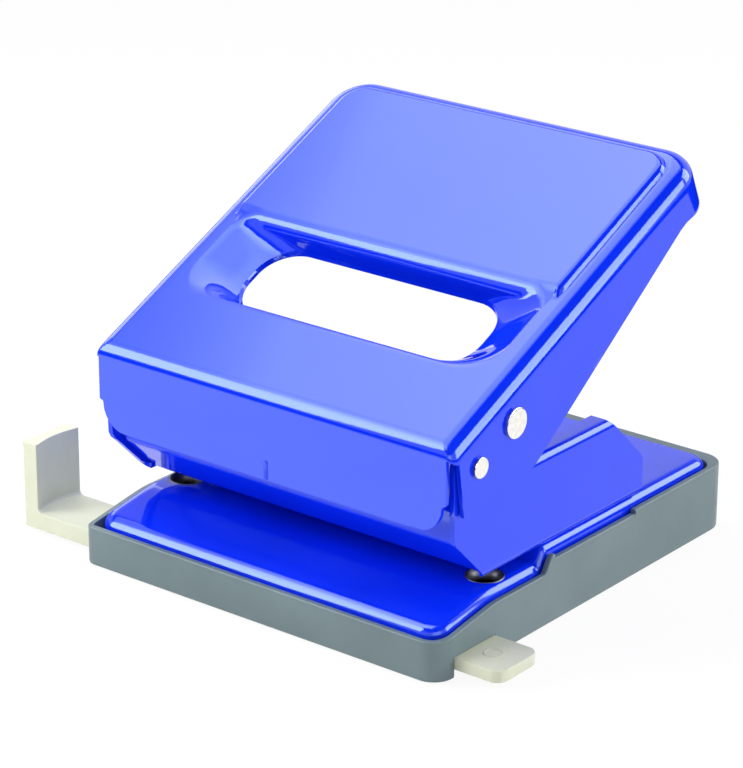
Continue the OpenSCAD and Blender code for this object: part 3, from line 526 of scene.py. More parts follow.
def flowing(rings):
    rings = np.array(rings)
    gap = np.linalg.norm(np.diff(rings, axis=0), axis=2)[..., None] + TINY_GAP
    slope = np.diff(rings, axis=0) / gap
    lean = np.empty_like(rings)
    lean[1:-1] = (slope[:-1] * gap[1:] + slope[1:] * gap[:-1]) / (gap[1:] + gap[:-1])
    lean[0] = slope[0]
    lean[-1] = slope[-1] * np.array([1, 1, 0])
    out = []
    for i in range(len(rings) - 1):
        for step in range(FLOW_STEPS):
            t = step / FLOW_STEPS
            start = (2 * t ** 3 - 3 * t ** 2 + 1) * rings[i] + (t ** 3 - 2 * t ** 2 + t) * gap[i] * lean[i]
            end = (3 * t ** 2 - 2 * t ** 3) * rings[i + 1] + (t ** 3 - t ** 2) * gap[i] * lean[i + 1]
            out.append(start + end)
    return out + [rings[-1]]


print("rings of the scoop:", len(scoop))

# %% Handle: the pad's edge, and all rings down to the end of the fold
PAD_HALF = 40.9
PAD_REAR = 82.5
PAD_ROUND = 4.5
# the pad's edge turns down by this angle and widens by this much
PAD_TURN = 75
PAD_ROLL = 1.8
# in front of the pad the same rings spread over the flat panel
FLAT_HALF = 41.3
FLAT_FRONT = 12.7
FLAT_ROUND = 10
FLAT_WIDER = 0.9
FLAT_FURTHER = 3.6
FLAT_TIGHTER = 3
PAD_RINGS = 12
FOLD_RINGS = 13


def pad_ring(k):
    turn = math.radians(PAD_TURN * k)
    end = math.radians(PAD_TURN)
    out = PAD_ROLL * math.sin(turn) / math.sin(end)
    fall = (PAD - PANEL) * (1 - math.cos(turn)) / (1 - math.cos(end))
    return border_half(FLAT_HALF + FLAT_WIDER * k, PAD_HALF + out, FLAT_FRONT - FLAT_FURTHER * k,
                       PAD_REAR + out, FLAT_ROUND - FLAT_TIGHTER * k, PAD_ROUND + out, PANEL, PAD - fall)


skin = [cut_edge] + flowing(scoop)
skin += [pad_ring(k) for k in np.linspace(0, 1, PAD_RINGS)]
skin += [fold_half(degrees) for degrees in np.linspace(0, 90, FOLD_RINGS)]
print("rings from slot to border:", len(skin))

# %% [markdown]
# ## Flanges and apron
# Below the fold the border goes on straight down. At the sides it becomes two flanges with a slanting
# lower edge, in front an apron with rounded corners, and a narrow slit parts them. Cutting the
# sheet with Booleans would leave long thin faces, so the rows below the fold are led along the real
# edges instead, and the faces of the slit are left out.

# %% Handle: the rows below the fold
ROWS = 12
# the lower edge of a flange, along the slope and above it
FLANGE_LINE = np.array([(-8.3, -5.5), (5.6, -10.6), (8.5, -11.4), (11.3, -11.8), (14.1, -12), (17.2, -11.4),
                        (76.1, 0), (81.3, -0.8), (200, -0.8)])
# a flange leans forward at its front edge, and the lean fades out over this length
FLANGE_LEAN = 3.3
LEAN_FROM = -4.94
LEAN_LENGTH = 25
# height and half width of the apron's rows: straight sides, a small shoulder, then round corners
CORNER_Z = 36.3
CORNER_X = 38.7
CORNER_ROUND = 5.9
APRON_ROWS = [(42.0, 45.6), (37.4, 45.6), (36.95, 45.55), (36.8, 45.1), (36.65, 44.7), (36.3, 44.6)]
APRON_ROWS += [(CORNER_Z - CORNER_ROUND * math.sin(math.radians(a)),
                CORNER_X + CORNER_ROUND * math.cos(math.radians(a))) for a in (15, 30, 45, 60, 75, 90)]


def to_panel(x, y, z):
    y = y - PANEL_Y
    z = z - PANEL_Z
    return x, y * math.cos(SLOPE) + z * math.sin(SLOPE), z * math.cos(SLOPE) - y * math.sin(SLOPE)


def row_below(row):
    edge = fold_half(90)
    out = edge.copy()
    z, half = APRON_ROWS[row - 1]
    for j in range(HALF + 1):
        x, v, w = edge[j]
        if j <= FRONT:
            out[j] = to_panel(half * j / FRONT, APRON_Y, z)
        elif j >= FRONT + CORNER:
            lean = FLANGE_LEAN * max(0, 1 - (v - LEAN_FROM) / LEAN_LENGTH) ** 2
            foot = np.interp(v - lean, FLANGE_LINE[:, 0], FLANGE_LINE[:, 1])
            out[j] = x, v - lean * row / ROWS, mix(w, foot, row / ROWS)
    return out


skin += [row_below(row) for row in range(1, ROWS + 1)]
print("rings with flanges and apron:", len(skin))

# %% Handle: mesh, sheet thickness, holes and edges
HANDLE_SHEET = 1.0
FULCRUM = (0, -38.2, 43.0)
FULCRUM_BORE = 1.75
SHAFT = (0, -26.7, 48.8)
SHAFT_R = 2.8
# a small upright rib in the middle of the apron, half its profile as radius and height
RIB_PLACE = (0, -46.35, 0)
RIB = [(0, 30.6), (0.5, 30.6), (0.65, 30.8), (0.65, 34.5), (0.45, 34.8), (0, 34.8)]


def closed_ring(half):
    return list(half) + [(-x, v, w) for x, v, w in reversed(half[1:-1])]


def from_panel(p):
    x, v, w = p
    return (x, PANEL_Y + v * math.cos(SLOPE) - w * math.sin(SLOPE),
            PANEL_Z + v * math.sin(SLOPE) + w * math.cos(SLOPE))


def quad(ring, step, count, turned_over=False):
    # one face between a ring and the next, both with count points
    here = ring * count + step
    after = ring * count + (step + 1) % count
    if turned_over:
        return here, after, after + count, here + count
    return here, here + count, after + count, after


around = 2 * HALF
points = [from_panel(p) for half in skin for p in closed_ring(half)]
faces = []
for k in range(len(skin) - 1):
    below_fold = k >= len(skin) - 1 - ROWS
    for c in range(around):
        in_half = c if c < HALF else around - 1 - c
        in_slit = below_fold and FRONT <= in_half < FRONT + CORNER
        if not in_slit:
            faces.append(quad(k, c, around))
handle = piece_from("handle_sheet", points, faces)
thicken(handle, HANDLE_SHEET)
settle(handle)
cut_away(handle, join("drill", [drills([FULCRUM], FULCRUM_BORE, X_AXIS, ALL_THROUGH),
                                drills([SHAFT], SHAFT_R, X_AXIS, ALL_THROUGH)]))
soften(handle, width_mm=0.16, angle=60)
settle(handle)
handle = join("handle_sheet", [handle, turned("rib", RIB, RIB_PLACE, Z_AXIS, steps=32)])
settle(handle)
level(handle)
hand_over(handle, "handle", "handle", enamel)

# %% [markdown]
# ## The base plate
# The plate is drawn from 1 mm sheet. It lies low in front, where the paper rests, rises by a step
# of 3.5 mm that stops the paper, and its border is rolled down into the tray. Rings serve again,
# but only for the rolled border. The upper face leans along its length only, so strips from side
# to side close it.

# %% Base plate: height along its length, and half an outline
PLATE_HALF = 45.6
PLATE_END = 48.95
PLATE_FRONT_ROUND = 4.4
PLATE_REAR_ROUND = 4.2
PLATE_HIGH = 17.0
PLATE_LOW = 13.5
# the paper stop is the middle of a step, and this is half the step's length
STOP_Y = -13.9
STEP = 1.6
# in front of this line the plate falls, after a soft knee that dies out behind it
FALL_Y = -32.4
FALL = math.tan(math.radians(9.5))
KNEE = 2.0
KNEE_REACH = 12
KNEE_REST = 0.04
CORNER_STEPS = 12


def plate_z(y):
    height = mix(PLATE_HIGH, PLATE_LOW, ease((STOP_Y + STEP - y) / (2 * STEP)))
    ahead = FALL_Y - y
    if ahead <= -KNEE_REACH:
        return height
    ahead = (ahead + math.sqrt(ahead * ahead + KNEE)) / 2
    return height - max(0, ahead - KNEE_REST) * FALL


def plate_half(inset, drop):
    half = PLATE_HALF - inset
    end = PLATE_END - inset
    front = PLATE_FRONT_ROUND - inset
    rear = PLATE_REAR_ROUND - inset
    # rows along the side: close together on the fall and on the step
    side = [*np.linspace(-end + front, -24, 16)[1:], -20, -17]
    side += [*np.linspace(STOP_Y - STEP, STOP_Y + STEP, 17), -8, 0, 20, 35]
    plan = [(0, -end)] + arc(half - front, -end + front, front, -90, 0, CORNER_STEPS) + [(half, -end + front)]
    plan += [(half, y) for y in side]
    plan += arc(half - rear, end - rear, rear, 0, 90, CORNER_STEPS) + [(half - rear, end), (0, end)]
    return [(x, y, plate_z(y) - drop) for x, y in plan]


print("plate height in front, at the dies and behind:", [round(plate_z(y), 2) for y in (-49, -26, 0)])

# %% Base plate: mesh, bores for dies and rivets
PLATE_SHEET = 1.0
# how far inside the outline the rings begin, the radius of the roll, and the skirt's depth below it
PLATE_BORDER = 3.3
PLATE_ROLL = 2.5
SKIRT_MIDDLE = 4.0
SKIRT = 5.0
PUNCH_X = 40
PUNCH_Y = -25.9
DIE_R = 4.1
RIVET_BORE = 2.02
RIVETS = [(x, y, PLATE_HIGH) for x in (-30, 30) for y in (-6.0, 13.0)]


def both_sides(x, y, z):
    return [(-x, y, z), (x, y, z)]


rolled = [plate_half(PLATE_BORDER, 0)]
for a in np.linspace(0, math.pi / 2, 12):
    rolled.append(plate_half(PLATE_ROLL * (1 - math.sin(a)), PLATE_ROLL * (1 - math.cos(a))))
rolled += [plate_half(0, SKIRT_MIDDLE), plate_half(0, SKIRT)]
back = len(rolled[0]) - 1
around = 2 * back
points = [p for half in rolled for p in closed_ring(half)]
faces = [quad(k, c, around) for k in range(len(rolled) - 1) for c in range(around)]
# strips from side to side close the upper face, with a five-sided one at each end
faces += [(j, j + 1, around - j - 1, around - j) for j in range(2, back - 2)]
faces += [(0, 1, 2, around - 2, around - 1), (back - 2, back - 1, back, back + 1, back + 2)]
plate = piece_from("base_plate_sheet", points, faces)
thicken(plate, PLATE_SHEET)
settle(plate)
cut_away(plate, join("drill", [drills(both_sides(PUNCH_X, PUNCH_Y, PLATE_LOW), DIE_R, Z_AXIS),
                               drills(RIVETS, RIVET_BORE, Z_AXIS)]))
settle(plate, angle=50)
level(plate)
hand_over(plate, "base_plate", "base", enamel)

# %% [markdown]
# ## The frame
# The frame is a channel folded from 1.2 mm sheet: a web that is riveted on the plate, two cheeks that
# carry the handle, a lip in front, and upper edges that are turned in to stiffen the cheeks. The
# outer skin is drawn as flat outlines joined by the arcs of the bends, and then thickened inwards.

# %% Frame: outline of a cheek and rows along the bends
CHEEK_X = 45.9
WEB_Z = 17.0
TOP_Z = 37.5
# the bends at web and top, where they begin, and how wide the turned-in edge is
BEND = 2.0
FLAT_X = CHEEK_X - BEND
LOW_BEND_Z = WEB_Z + BEND
TOP_BEND_Z = TOP_Z - BEND
TURNED_IN = 5.1
# the front edge leaves the web here and rises forward at 45 degrees
LIP_FOOT = -33.1
EAR_R = 6.3
NECK_R = 3
NECK_Y = -28.9
WEB_ROWS = [20.6, 12.0, 4.0, -4.0, -12.0, -20.0, -26.0, -31.7]
TOP_ROWS = [-20.0, -10.0, 0.0]


def front_edge(z):
    return LIP_FOOT - (z - WEB_Z)


def rear_edge(z):
    return np.interp(z, [17, 18, 24.6, 26.6, 37.5], [20.6, 21.6, 21.6, 20.6, 9.2])


def low_row(z):
    return [rear_edge(z)] + WEB_ROWS[1:] + [front_edge(z)]


def top_row(z):
    return TOP_ROWS + [rear_edge(z)]


ear = [(FULCRUM[1] + EAR_R * math.cos(a), FULCRUM[2] + EAR_R * math.sin(a))
       for a in np.radians(np.linspace(180, 0, 25))]
neck = [(NECK_Y - NECK_R * math.sin(a), TOP_Z + NECK_R - NECK_R * math.cos(a))
        for a in np.radians(np.linspace(90, 0, 8))]
cheek = [(y, LOW_BEND_Z) for y in low_row(LOW_BEND_Z)]
cheek += [(-42.1, 26.0), (-43.4, 27.2), (-44.0, 28.4), (-44.5, 43.0)] + ear[1:] + neck
cheek += [(TOP_ROWS[0], TOP_Z)] + [(y, TOP_BEND_Z) for y in top_row(TOP_BEND_Z)]
cheek += [(20.6, 26.6), (21.35, 25.7), (21.6, 24.6)]
print("points round a cheek:", len(cheek))

# %% Frame: web, bends, cheeks and lip as one skin
BEND_ROWS = 9
points = []
faces = []


def patch(rows):
    start = len(points)
    width = len(rows[0])
    for row in rows:
        points.extend(row)
    for r in range(len(rows) - 1):
        for c in range(width - 1):
            a = start + r * width + c
            faces.append((a, a + 1, a + width + 1, a + width))


# web and lip from the rear to the lip's upper edge, as y and z
lip_path = [(y, WEB_Z) for y in WEB_ROWS[:-1]] + [(-31.0, 17.0), (-31.9, 17.25), (-32.5, 17.8)]
lip_path += [(-40.2, 25.5), (-40.75, 26.2), (-41.0, 27.1), (-41.0, 35.8)]
patch([[(x, y, z) for x in np.linspace(-FLAT_X, FLAT_X, 13)] for y, z in lip_path])
for side in (1, -1):
    bottom = []
    top = []
    for a in np.linspace(0, math.pi / 2, BEND_ROWS):
        x = FLAT_X + BEND * math.sin(a)
        z = WEB_Z + BEND - BEND * math.cos(a)
        bottom.append([(side * x, y, z) for y in low_row(z)][::side])
        x = FLAT_X + BEND * math.cos(a)
        z = TOP_Z - BEND + BEND * math.sin(a)
        top.append([(side * x, y, z) for y in top_row(z)][::-side])
    top.append([(side * (CHEEK_X - TURNED_IN), y, TOP_Z) for y in top_row(TOP_Z)][::-side])
    patch(bottom)
    patch(top)
    start = len(points)
    points.extend((side * CHEEK_X, y, z) for y, z in cheek)
    faces.append(tuple(range(start, len(points)))[::-side])
frame_piece = piece_from("frame_channel", points, faces)
print("frame skin:", len(points), "points")

# %% Frame: thickness, bores and softened edges
FRAME_SHEET = 1.2
PUNCH_BORE = 2.8
PIN_R = 1.7

face_outwards(frame_piece)
thicken(frame_piece, FRAME_SHEET)
settle(frame_piece)
cut_away(frame_piece, join("drill", [
    drills(both_sides(PUNCH_X, PUNCH_Y, WEB_Z + 0.5), PUNCH_BORE, Z_AXIS, half_length=2),
    drills(RIVETS, RIVET_BORE, Z_AXIS, half_length=3),
    drills([FULCRUM], PIN_R, X_AXIS, ALL_THROUGH)]))
soften(frame_piece, width_mm=0.2, angle=60)
settle(frame_piece)
level(frame_piece)
hand_over(frame_piece, "frame", "base", enamel)

# %% [markdown]
# ## The chip tray
# The tray is moulded with a wall that is thicker at the rear, a ledge that the plate sits on, and a
# rim that follows the plate's step. One profile, carried round the plan, gives it: rounded foot,
# outer wall, rounded rim, ledge, inner wall and floor. The rim's height is read from the plate at
# each place.

# %% Chip tray: plan and rim
TRAY_HALF = 47.4
TRAY_END = 50.75
# the rear wall is this much thicker than the others
REAR_WALL = 2.4
# corners in front on the left and right, both corners behind, and the tightest a corner gets
LEFT_ROUND = 2.2
RIGHT_ROUND = 5.0
BACK_ROUND = 5.5
LEAST_ROUND = 0.6
# the pocket's corners are those of the plate
POCKET = (PLATE_FRONT_ROUND, PLATE_FRONT_ROUND, PLATE_REAR_ROUND)
# the rim lies below the plate's face, and a little lower along a shallow notch in each side
RIM_BELOW = 1.8
NOTCH_BELOW = 0.9
NOTCH_FRONT = -11.7
NOTCH_REAR = 17.3
# each end of the notch falls between two rows that are this far from it
HAIR = 0.02
# the front and rear edges have one more point on each side of the middle
MIDDLE_X = 20
TRAY_CORNER_STEPS = 14


def sheet_z(y):
    return plate_z(max(y, -PLATE_END))


def rim_z(y):
    return sheet_z(y) - RIM_BELOW - (NOTCH_BELOW if NOTCH_FRONT < y < NOTCH_REAR else 0.0)


def tray_ring(inset, rear, height, corners=None):
    half = TRAY_HALF - inset
    front_y = inset - TRAY_END
    rear_y = TRAY_END - inset + rear
    left = max(LEAST_ROUND, LEFT_ROUND - inset)
    right = max(LEAST_ROUND, RIGHT_ROUND - inset)
    back = BACK_ROUND - inset
    if corners:
        left, right, back = corners
    # rows along the side: close together on the fall, on the step and at the ends of the notch
    side = [-38, -35, -33, -31, -28, -22, *np.linspace(STOP_Y - STEP, STOP_Y + STEP, 13)]
    side += [NOTCH_FRONT - HAIR, NOTCH_FRONT + HAIR, 0, 10, NOTCH_REAR - HAIR, NOTCH_REAR + HAIR, 28, 38]

    def half_plan(front):
        plan = [(0, front_y), (MIDDLE_X, front_y)]
        plan += arc(half - front, front_y + front, front, -90, 0, TRAY_CORNER_STEPS)
        plan += [(half, y) for y in (front_y + front, *side)]
        plan += arc(half - back, rear_y - back, back, 0, 90, TRAY_CORNER_STEPS)
        return plan + [(half - back, rear_y), (MIDDLE_X, rear_y), (0, rear_y)]

    plan = half_plan(right) + [(-x, y) for x, y in reversed(half_plan(left)[1:-1])]
    return [(x, y, height(y)) for x, y in plan]


print("rim in front, in the notch and behind:", [round(rim_z(y), 2) for y in (-50, 0, 30)])

# %% Chip tray: the rings of its profile
# the flat underside ends a little inside the foot's round
FOOT_R = 0.7
FOOT_INSET = 0.9
# the wall at the rim, with its outer and inner round
WALL = 1.3
RIM_R = 0.4
INNER_R = 0.2
# the plate's skirt stands on the ledge, and the pocket inside it has a slanting foot
LEDGE_BELOW = SKIRT + 0.02
LEDGE_INSET = 2.4
POCKET_INSET = 3.0
SLANT_Z = 1.8
POCKET_Z = 1.2

profile = [tray_ring(FOOT_INSET, REAR_WALL, lambda y: 0.0)]
for a in np.radians((0, 30, 60, 90)):
    profile.append(tray_ring(FOOT_R * (1 - math.sin(a)), REAR_WALL,
                             lambda y, a=a: FOOT_R * (1 - math.cos(a))))
for a in np.radians((0, 30, 60, 90)):
    profile.append(tray_ring(RIM_R * (1 - math.cos(a)), REAR_WALL,
                             lambda y, a=a: rim_z(y) - RIM_R * (1 - math.sin(a))))
for a in np.radians((90, 45, 0)):
    profile.append(tray_ring(WALL - INNER_R * (1 - math.cos(a)), 0.0,
                             lambda y, a=a: rim_z(y) - INNER_R * (1 - math.sin(a))))
profile += [tray_ring(WALL, 0.0, lambda y: sheet_z(y) - LEDGE_BELOW),
            tray_ring(LEDGE_INSET, 0.0, lambda y: sheet_z(y) - LEDGE_BELOW, POCKET),
            tray_ring(LEDGE_INSET, 0.0, lambda y: SLANT_Z, POCKET),
            tray_ring(POCKET_INSET, 0.0, lambda y: POCKET_Z, POCKET)]
print("rings of the tray's profile:", len(profile))

# %% Chip tray: mesh, guide housing and channel
# two opposite corners of the hump over the paper guide, of the guide's channel and of its floor
HOUSING = ((-45.7, -46.65, 1.19), (45.7, -30.75, 5.7))
CHANNEL = ((-80, -45.55, -1), (80, -31.85, 4.75))
CHANNEL_FLOOR = ((-41.7, -45.56, 0), (41.7, -31.84, 0.55))


def block(name, low, high):
    bm = bmesh.new()
    bmesh.ops.create_cube(bm, size=1.0)
    size = Vector(high) - Vector(low)
    middle = (Vector(high) + Vector(low)) / 2
    stretch = Matrix.Translation(middle * MM) @ Matrix.Diagonal((*(size * MM), 1))
    bmesh.ops.transform(bm, matrix=stretch, verts=bm.verts)
    return piece_of(name, bm)


around = len(profile[0])
points = [p for ring in profile for p in ring]
faces = [quad(k, c, around, turned_over=True) for k in range(len(profile) - 1) for c in range(around)]
faces.append(tuple(reversed(range(around))))
faces.append(tuple(range((len(profile) - 1) * around, len(profile) * around)))
tray = piece_from("chip_tray_shell", points, faces)
cut_away(tray, block("housing", *HOUSING), "UNION")
cut_away(tray, block("channel", *CHANNEL))
cut_away(tray, block("channel_floor", *CHANNEL_FLOOR), "UNION")
settle(tray, angle=32)
level(tray)
hand_over(tray, "chip_tray", "tray", grey_abs)

# %% [markdown]
# ## The paper guide
# The guide is a flat moulded bar that slides through the tray, with an upright stop at its left end.
# Its side view is an L that gets thinner on the right. Drawing it once and pulling it to the bar's
# width gives the whole piece, and the paper face is hollowed slightly on the way. The corners of
# the right end are rounded, and every edge is softened as moulds leave it.

# %% Paper guide: side view, width and edges
STOP_LEFT = -70.0
STOP_FACE = -66.2
STOP_TOP = 20.5
STOP_ROUND = 1.2
BAR_Y = -38.7
BAR_WIDTH = 13.4
BAR_UNDER = 0.7
BAR_TOP = 4.6
# the thin tab on the right, and the round of its corners
TAB = 44.4
TAB_END = 58.5
TAB_UNDER = 2.0
TAB_ROUND = 2.6
# the paper face is hollowed this deep, over this half width, from just above the bar
HOLLOW = 0.9
HOLLOW_HALF = 5.8
HOLLOW_FROM = BAR_TOP + 0.1
# a peg below the stop and a raised ring on the tab, half of each profile as radius and height
PEG_PLACE = (STOP_LEFT + 2.6, BAR_Y - BAR_WIDTH / 2 + 1.4, 0)
PEG = [(0, 0.35), (0.65, 0.35), (0.75, 0.45), (0.75, 0.8), (0, 0.8)]
RING_PLACE = (52, BAR_Y, 0)
RING = [(1.7, 4.58), (1.75, 4.72), (2.05, 4.72), (2.1, 4.58)]

inner = [(STOP_FACE + STOP_ROUND * (1 - math.cos(a)), BAR_TOP + STOP_ROUND * (1 - math.sin(a)))
         for a in np.radians(np.linspace(90, 0, 6))]
side_view = [(STOP_LEFT, BAR_UNDER), (TAB, BAR_UNDER), (TAB, TAB_UNDER), (TAB_END, TAB_UNDER)]
side_view += [(TAB_END, BAR_TOP), *inner, (STOP_FACE, STOP_TOP), (STOP_LEFT, STOP_TOP)]
corner = [BAR_WIDTH / 2 - TAB_ROUND * (1 - math.sin(a)) for a in np.radians((0, 18, 36, 54, 72, 90))]
columns = sorted([*np.linspace(-3.8, 3.8, 15), -HOLLOW_HALF, HOLLOW_HALF, *corner, *[-y for y in corner]])


def bar_end(y):
    past = max(0.0, abs(y) - BAR_WIDTH / 2 + TAB_ROUND)
    return TAB_END - TAB_ROUND + math.sqrt(max(0.0, TAB_ROUND ** 2 - past ** 2))


points = []
faces = []
for y in columns:
    hollow = HOLLOW * max(0.0, 1 - (y / HOLLOW_HALF) ** 2)
    for x, z in side_view:
        x = bar_end(y) if x == TAB_END else x
        on_face = z > HOLLOW_FROM and x > STOP_LEFT
        points.append((x - (hollow if on_face else 0), BAR_Y + y, z))
around = len(side_view)
for c in range(len(columns) - 1):
    faces += [quad(c, i, around) for i in range(around)]
faces += [tuple(range(around)), tuple(reversed(range(len(points) - around, len(points))))]
guide = piece_from("paper_guide_bar", points, faces)
face_outwards(guide)
soften(guide, width_mm=0.3, angle=40, segments=3)
settle(guide)
peg = turned("peg", PEG, PEG_PLACE, Z_AXIS, steps=24)
ring_mark = turned("ring_mark", RING, RING_PLACE, Z_AXIS, steps=48)
guide = join("paper_guide_bar", [guide, peg, ring_mark])
settle(guide)
level(guide)
hand_over(guide, "guide_bar", "guide", ivory_pp)

# %% [markdown]
# ## Pins and rivets
# Two small pins carry the handle, and a thick shaft through both flanges presses on the punches. Their
# heads are peened over, so their rims bulge like a barrel and catch a dark line all round.

# %% Pins, shaft and rivets
# all profiles are half sections, as radius and height along the axis
PIN_X = 44.7
PIN_END = 2.62
PIN_TOP = 3.35
PIN_HEAD_R = 2.2
PIN = [(0, -1.2), (2.0, -1.2), (2.6, -0.6), (2.6, 0), (PIN_R, 0), (PIN_R, PIN_END)]
SHAFT_END = 47.2
SHAFT_TOP = 48.05
SHAFT_HEAD_R = 3.25
FRAME_RIVET = [(0, -1.2), (2.7, -1.2), (3.3, -0.5), (3.3, 0), (2, 0), (2, 2.2), (3.3, 2.2), (3.2, 2.9),
               (2.4, 3.45), (0, 3.6)]
CARRIER_RIVET = [(0, 0), (2.3, 0), (1.5, 0.8), (1.5, 2.7), (2.6, 2.7), (2.6, 3.1), (2.0, 3.6), (0, 3.7)]
CARRIER_RIVET_X = 31
CARRIER_RIVET_Y = -25.3


def peened(radius, base, top):
    # the head is widest at three quarters of its height
    high = top - base
    return [(radius - 0.45, base), (radius - 0.12, base + 0.6 * high), (radius, base + 0.75 * high),
            (radius - 0.1, top - 0.07), (radius - 0.45, top - 0.02), (0, top)]


for side, name in ((-1, "left_fulcrum_pin"), (1, "right_fulcrum_pin")):
    shape = PIN + peened(PIN_HEAD_R, PIN_END, PIN_TOP)
    pin = turned(name + "_rivet", shape, (side * PIN_X, *FULCRUM[1:]), (side, 0, 0))
    soften(pin, width_mm=0.08, angle=30, segments=3)
    settle(pin, angle=50)
    hand_over(pin, name, "base", nickel)
end = peened(SHAFT_HEAD_R, SHAFT_END, SHAFT_TOP)
shape = [(r, -h) for r, h in reversed(end)] + [(SHAFT_R, -SHAFT_END), (SHAFT_R, SHAFT_END)] + end
shaft = turned("press_shaft_turned", shape, SHAFT, X_AXIS)
soften(shaft, width_mm=0.1, angle=30, segments=3)
settle(shaft, angle=50)
hand_over(shaft, "press_shaft", "handle", nickel)
# the lower heads of the frame's rivets lie against the underside of the plate's sheet
under_plate = [(x, y, z - PLATE_SHEET) for x, y, z in RIVETS]
rivets = join("frame_rivets_set", [turned("rivet", FRAME_RIVET, place, Z_AXIS, steps=48)
                                   for place in under_plate])
settle(rivets)
hand_over(rivets, "frame_rivets", "base", nickel)
rivets = join("carrier_rivets_set", [turned("rivet", CARRIER_RIVET, place, Z_AXIS, steps=40)
                                     for place in both_sides(CARRIER_RIVET_X, CARRIER_RIVET_Y, WEB_Z)])
settle(rivets)
hand_over(rivets, "carrier_rivets", "base", nickel)

# %% [markdown]
# ## Punches, dies and springs
# Each punch is a ground rod whose cutting end is hollowed, so that it bites from two sides. A clip
# in a groove rests on a washer, and a coil spring under the washer lifts the rod again. The spring
# is a curve with a round section, made into a mesh.

# %% Punch stack on both sides
SIDES = ((-1, "left"), (1, "right"))
ROD = [(0, 17.3), (2.75, 17.3), (2.75, 42.78), (2.05, 42.78), (2.05, 43.42), (2.75, 43.42), (2.75, 45.35),
       (2.25, 45.85), (0, 45.85)]
# the round hollow across the cutting end
BITE_Z = 16.3
BITE_R = 2.2
DIE = [(2.8, 11.18), (3.8, 11.18), (DIE_R, 11.48), (DIE_R, 13.45), (3.97, 13.58), (3.75, 13.58), (3.5, 13.3),
       (2.8, 12.3)]
WASHER = [(2.81, 42), (4.1, 42), (4.1, 42.6), (3.9, 42.8), (2.81, 42.8)]
CLIP = [(2.05, 42.8), (3.9, 42.8), (3.9, 43.4), (2.05, 43.4)]
# half the width of the clip's mouth, which opens to the back
MOUTH_HALF = 1.7

for side, word in SIDES:
    x = side * PUNCH_X
    at = (x, PUNCH_Y, 0)
    punch = turned(f"{word}_punch_rod", ROD, at, Z_AXIS)
    cut_away(punch, drills([(x, PUNCH_Y, BITE_Z)], BITE_R, Y_AXIS, half_length=8))
    hand_over(punch, f"{word}_punch", f"{word}_punch", ground)
    die = turned(f"{word}_die_ring", DIE, at, Z_AXIS, closed=True)
    settle(die)
    hand_over(die, f"{word}_die", "base", ground)
    seat = turned(f"{word}_washer", WASHER, at, Z_AXIS, closed=True)
    settle(seat)
    hand_over(seat, f"{word}_spring_seat", f"{word}_punch", nickel)
    clip = turned(f"{word}_clip_spring", CLIP, at, Z_AXIS, closed=True)
    cut_away(clip, block("mouth", (x - MOUTH_HALF, PUNCH_Y, 42), (x + MOUTH_HALF, PUNCH_Y + 6, 44)))
    soften(clip, width_mm=0.08, angle=40)
    settle(clip)
    hand_over(clip, f"{word}_clip", f"{word}_punch", wire)

# %% Springs
WIRE_R = 0.4
COIL_R = 3.45
COIL_FOOT = 31.42
COIL_HIGH = 10.16
TURNS = 5.5
COIL_STEPS = 220
# the end turns lie closer together than the middle ones
END_EASE = 0.35


def coil(name, side):
    line = bpy.data.curves.new(name, "CURVE")
    line.dimensions = "3D"
    line.bevel_depth = WIRE_R * MM
    line.bevel_resolution = 5
    line.use_fill_caps = True
    spline = line.splines.new("POLY")
    spline.points.add(COIL_STEPS)
    for i in range(COIL_STEPS + 1):
        k = i / COIL_STEPS
        a = 2 * math.pi * TURNS * k
        x = side * PUNCH_X + COIL_R * math.cos(a)
        y = PUNCH_Y + COIL_R * math.sin(a)
        z = COIL_FOOT + COIL_HIGH * mix(k, ease(k), END_EASE)
        spline.points[i].co = (x * MM, y * MM, z * MM, 1)
    source = placed(name, line)
    mesh = bpy.data.meshes.new_from_object(source.evaluated_get(bpy.context.evaluated_depsgraph_get()))
    bpy.data.objects.remove(source)
    mesh.shade_smooth()
    return placed(name, mesh)


for side, word in SIDES:
    spring = coil(f"{word}_coil", side)
    hand_over(spring, f"{word}_spring", "base", wire)
    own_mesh(spring)

# %% [markdown]
# ## The punch carrier
# Inside the frame a folded strip guides the punches a second time, higher up. It is a flat loop of
# 1.5 mm steel with open middle. Its outline is drawn once and pulled to its depth.

# %% Punch carrier
CARRIER_HALF = 44.35
CARRIER_LOW = 18.2
CARRIER_TOP = 31.0
CARRIER_FRONT = -30.7
CARRIER_REAR = -19.7
STRIP = 1.5
FOOT_END = 26
LOW_CHAMFER = 0.7
TOP_CHAMFER = 0.5
CARRIER_RIVET_BORE = 1.52
# heights at which the drills for punches and rivets are centred
PUNCH_DRILL_Z = 25
RIVET_DRILL_Z = 19

# the inside is drawn up from the left foot and the outside up from the right foot, then both are mirrored
inside_x = CARRIER_HALF - STRIP
inside_low = CARRIER_LOW + STRIP
inside_top = CARRIER_TOP - STRIP
inside = [(-FOOT_END, CARRIER_LOW), (-FOOT_END, inside_low), (-inside_x, inside_low), (-inside_x, inside_top)]
outside = [(CARRIER_HALF - LOW_CHAMFER, CARRIER_LOW), (CARRIER_HALF, CARRIER_LOW + LOW_CHAMFER),
           (CARRIER_HALF, CARRIER_TOP - TOP_CHAMFER), (CARRIER_HALF - TOP_CHAMFER, CARRIER_TOP)]
outline = inside + [(-x, z) for x, z in reversed(inside)] + outside + [(-x, z) for x, z in reversed(outside)]
around = len(outline)
points = [(x, y, z) for y in (CARRIER_FRONT, CARRIER_REAR) for x, z in outline]
faces = [quad(0, i, around, turned_over=True) for i in range(around)]
faces += [tuple(reversed(range(around))), tuple(range(around, 2 * around))]
carrier = piece_from("punch_carrier_strip", points, faces)
face_outwards(carrier)
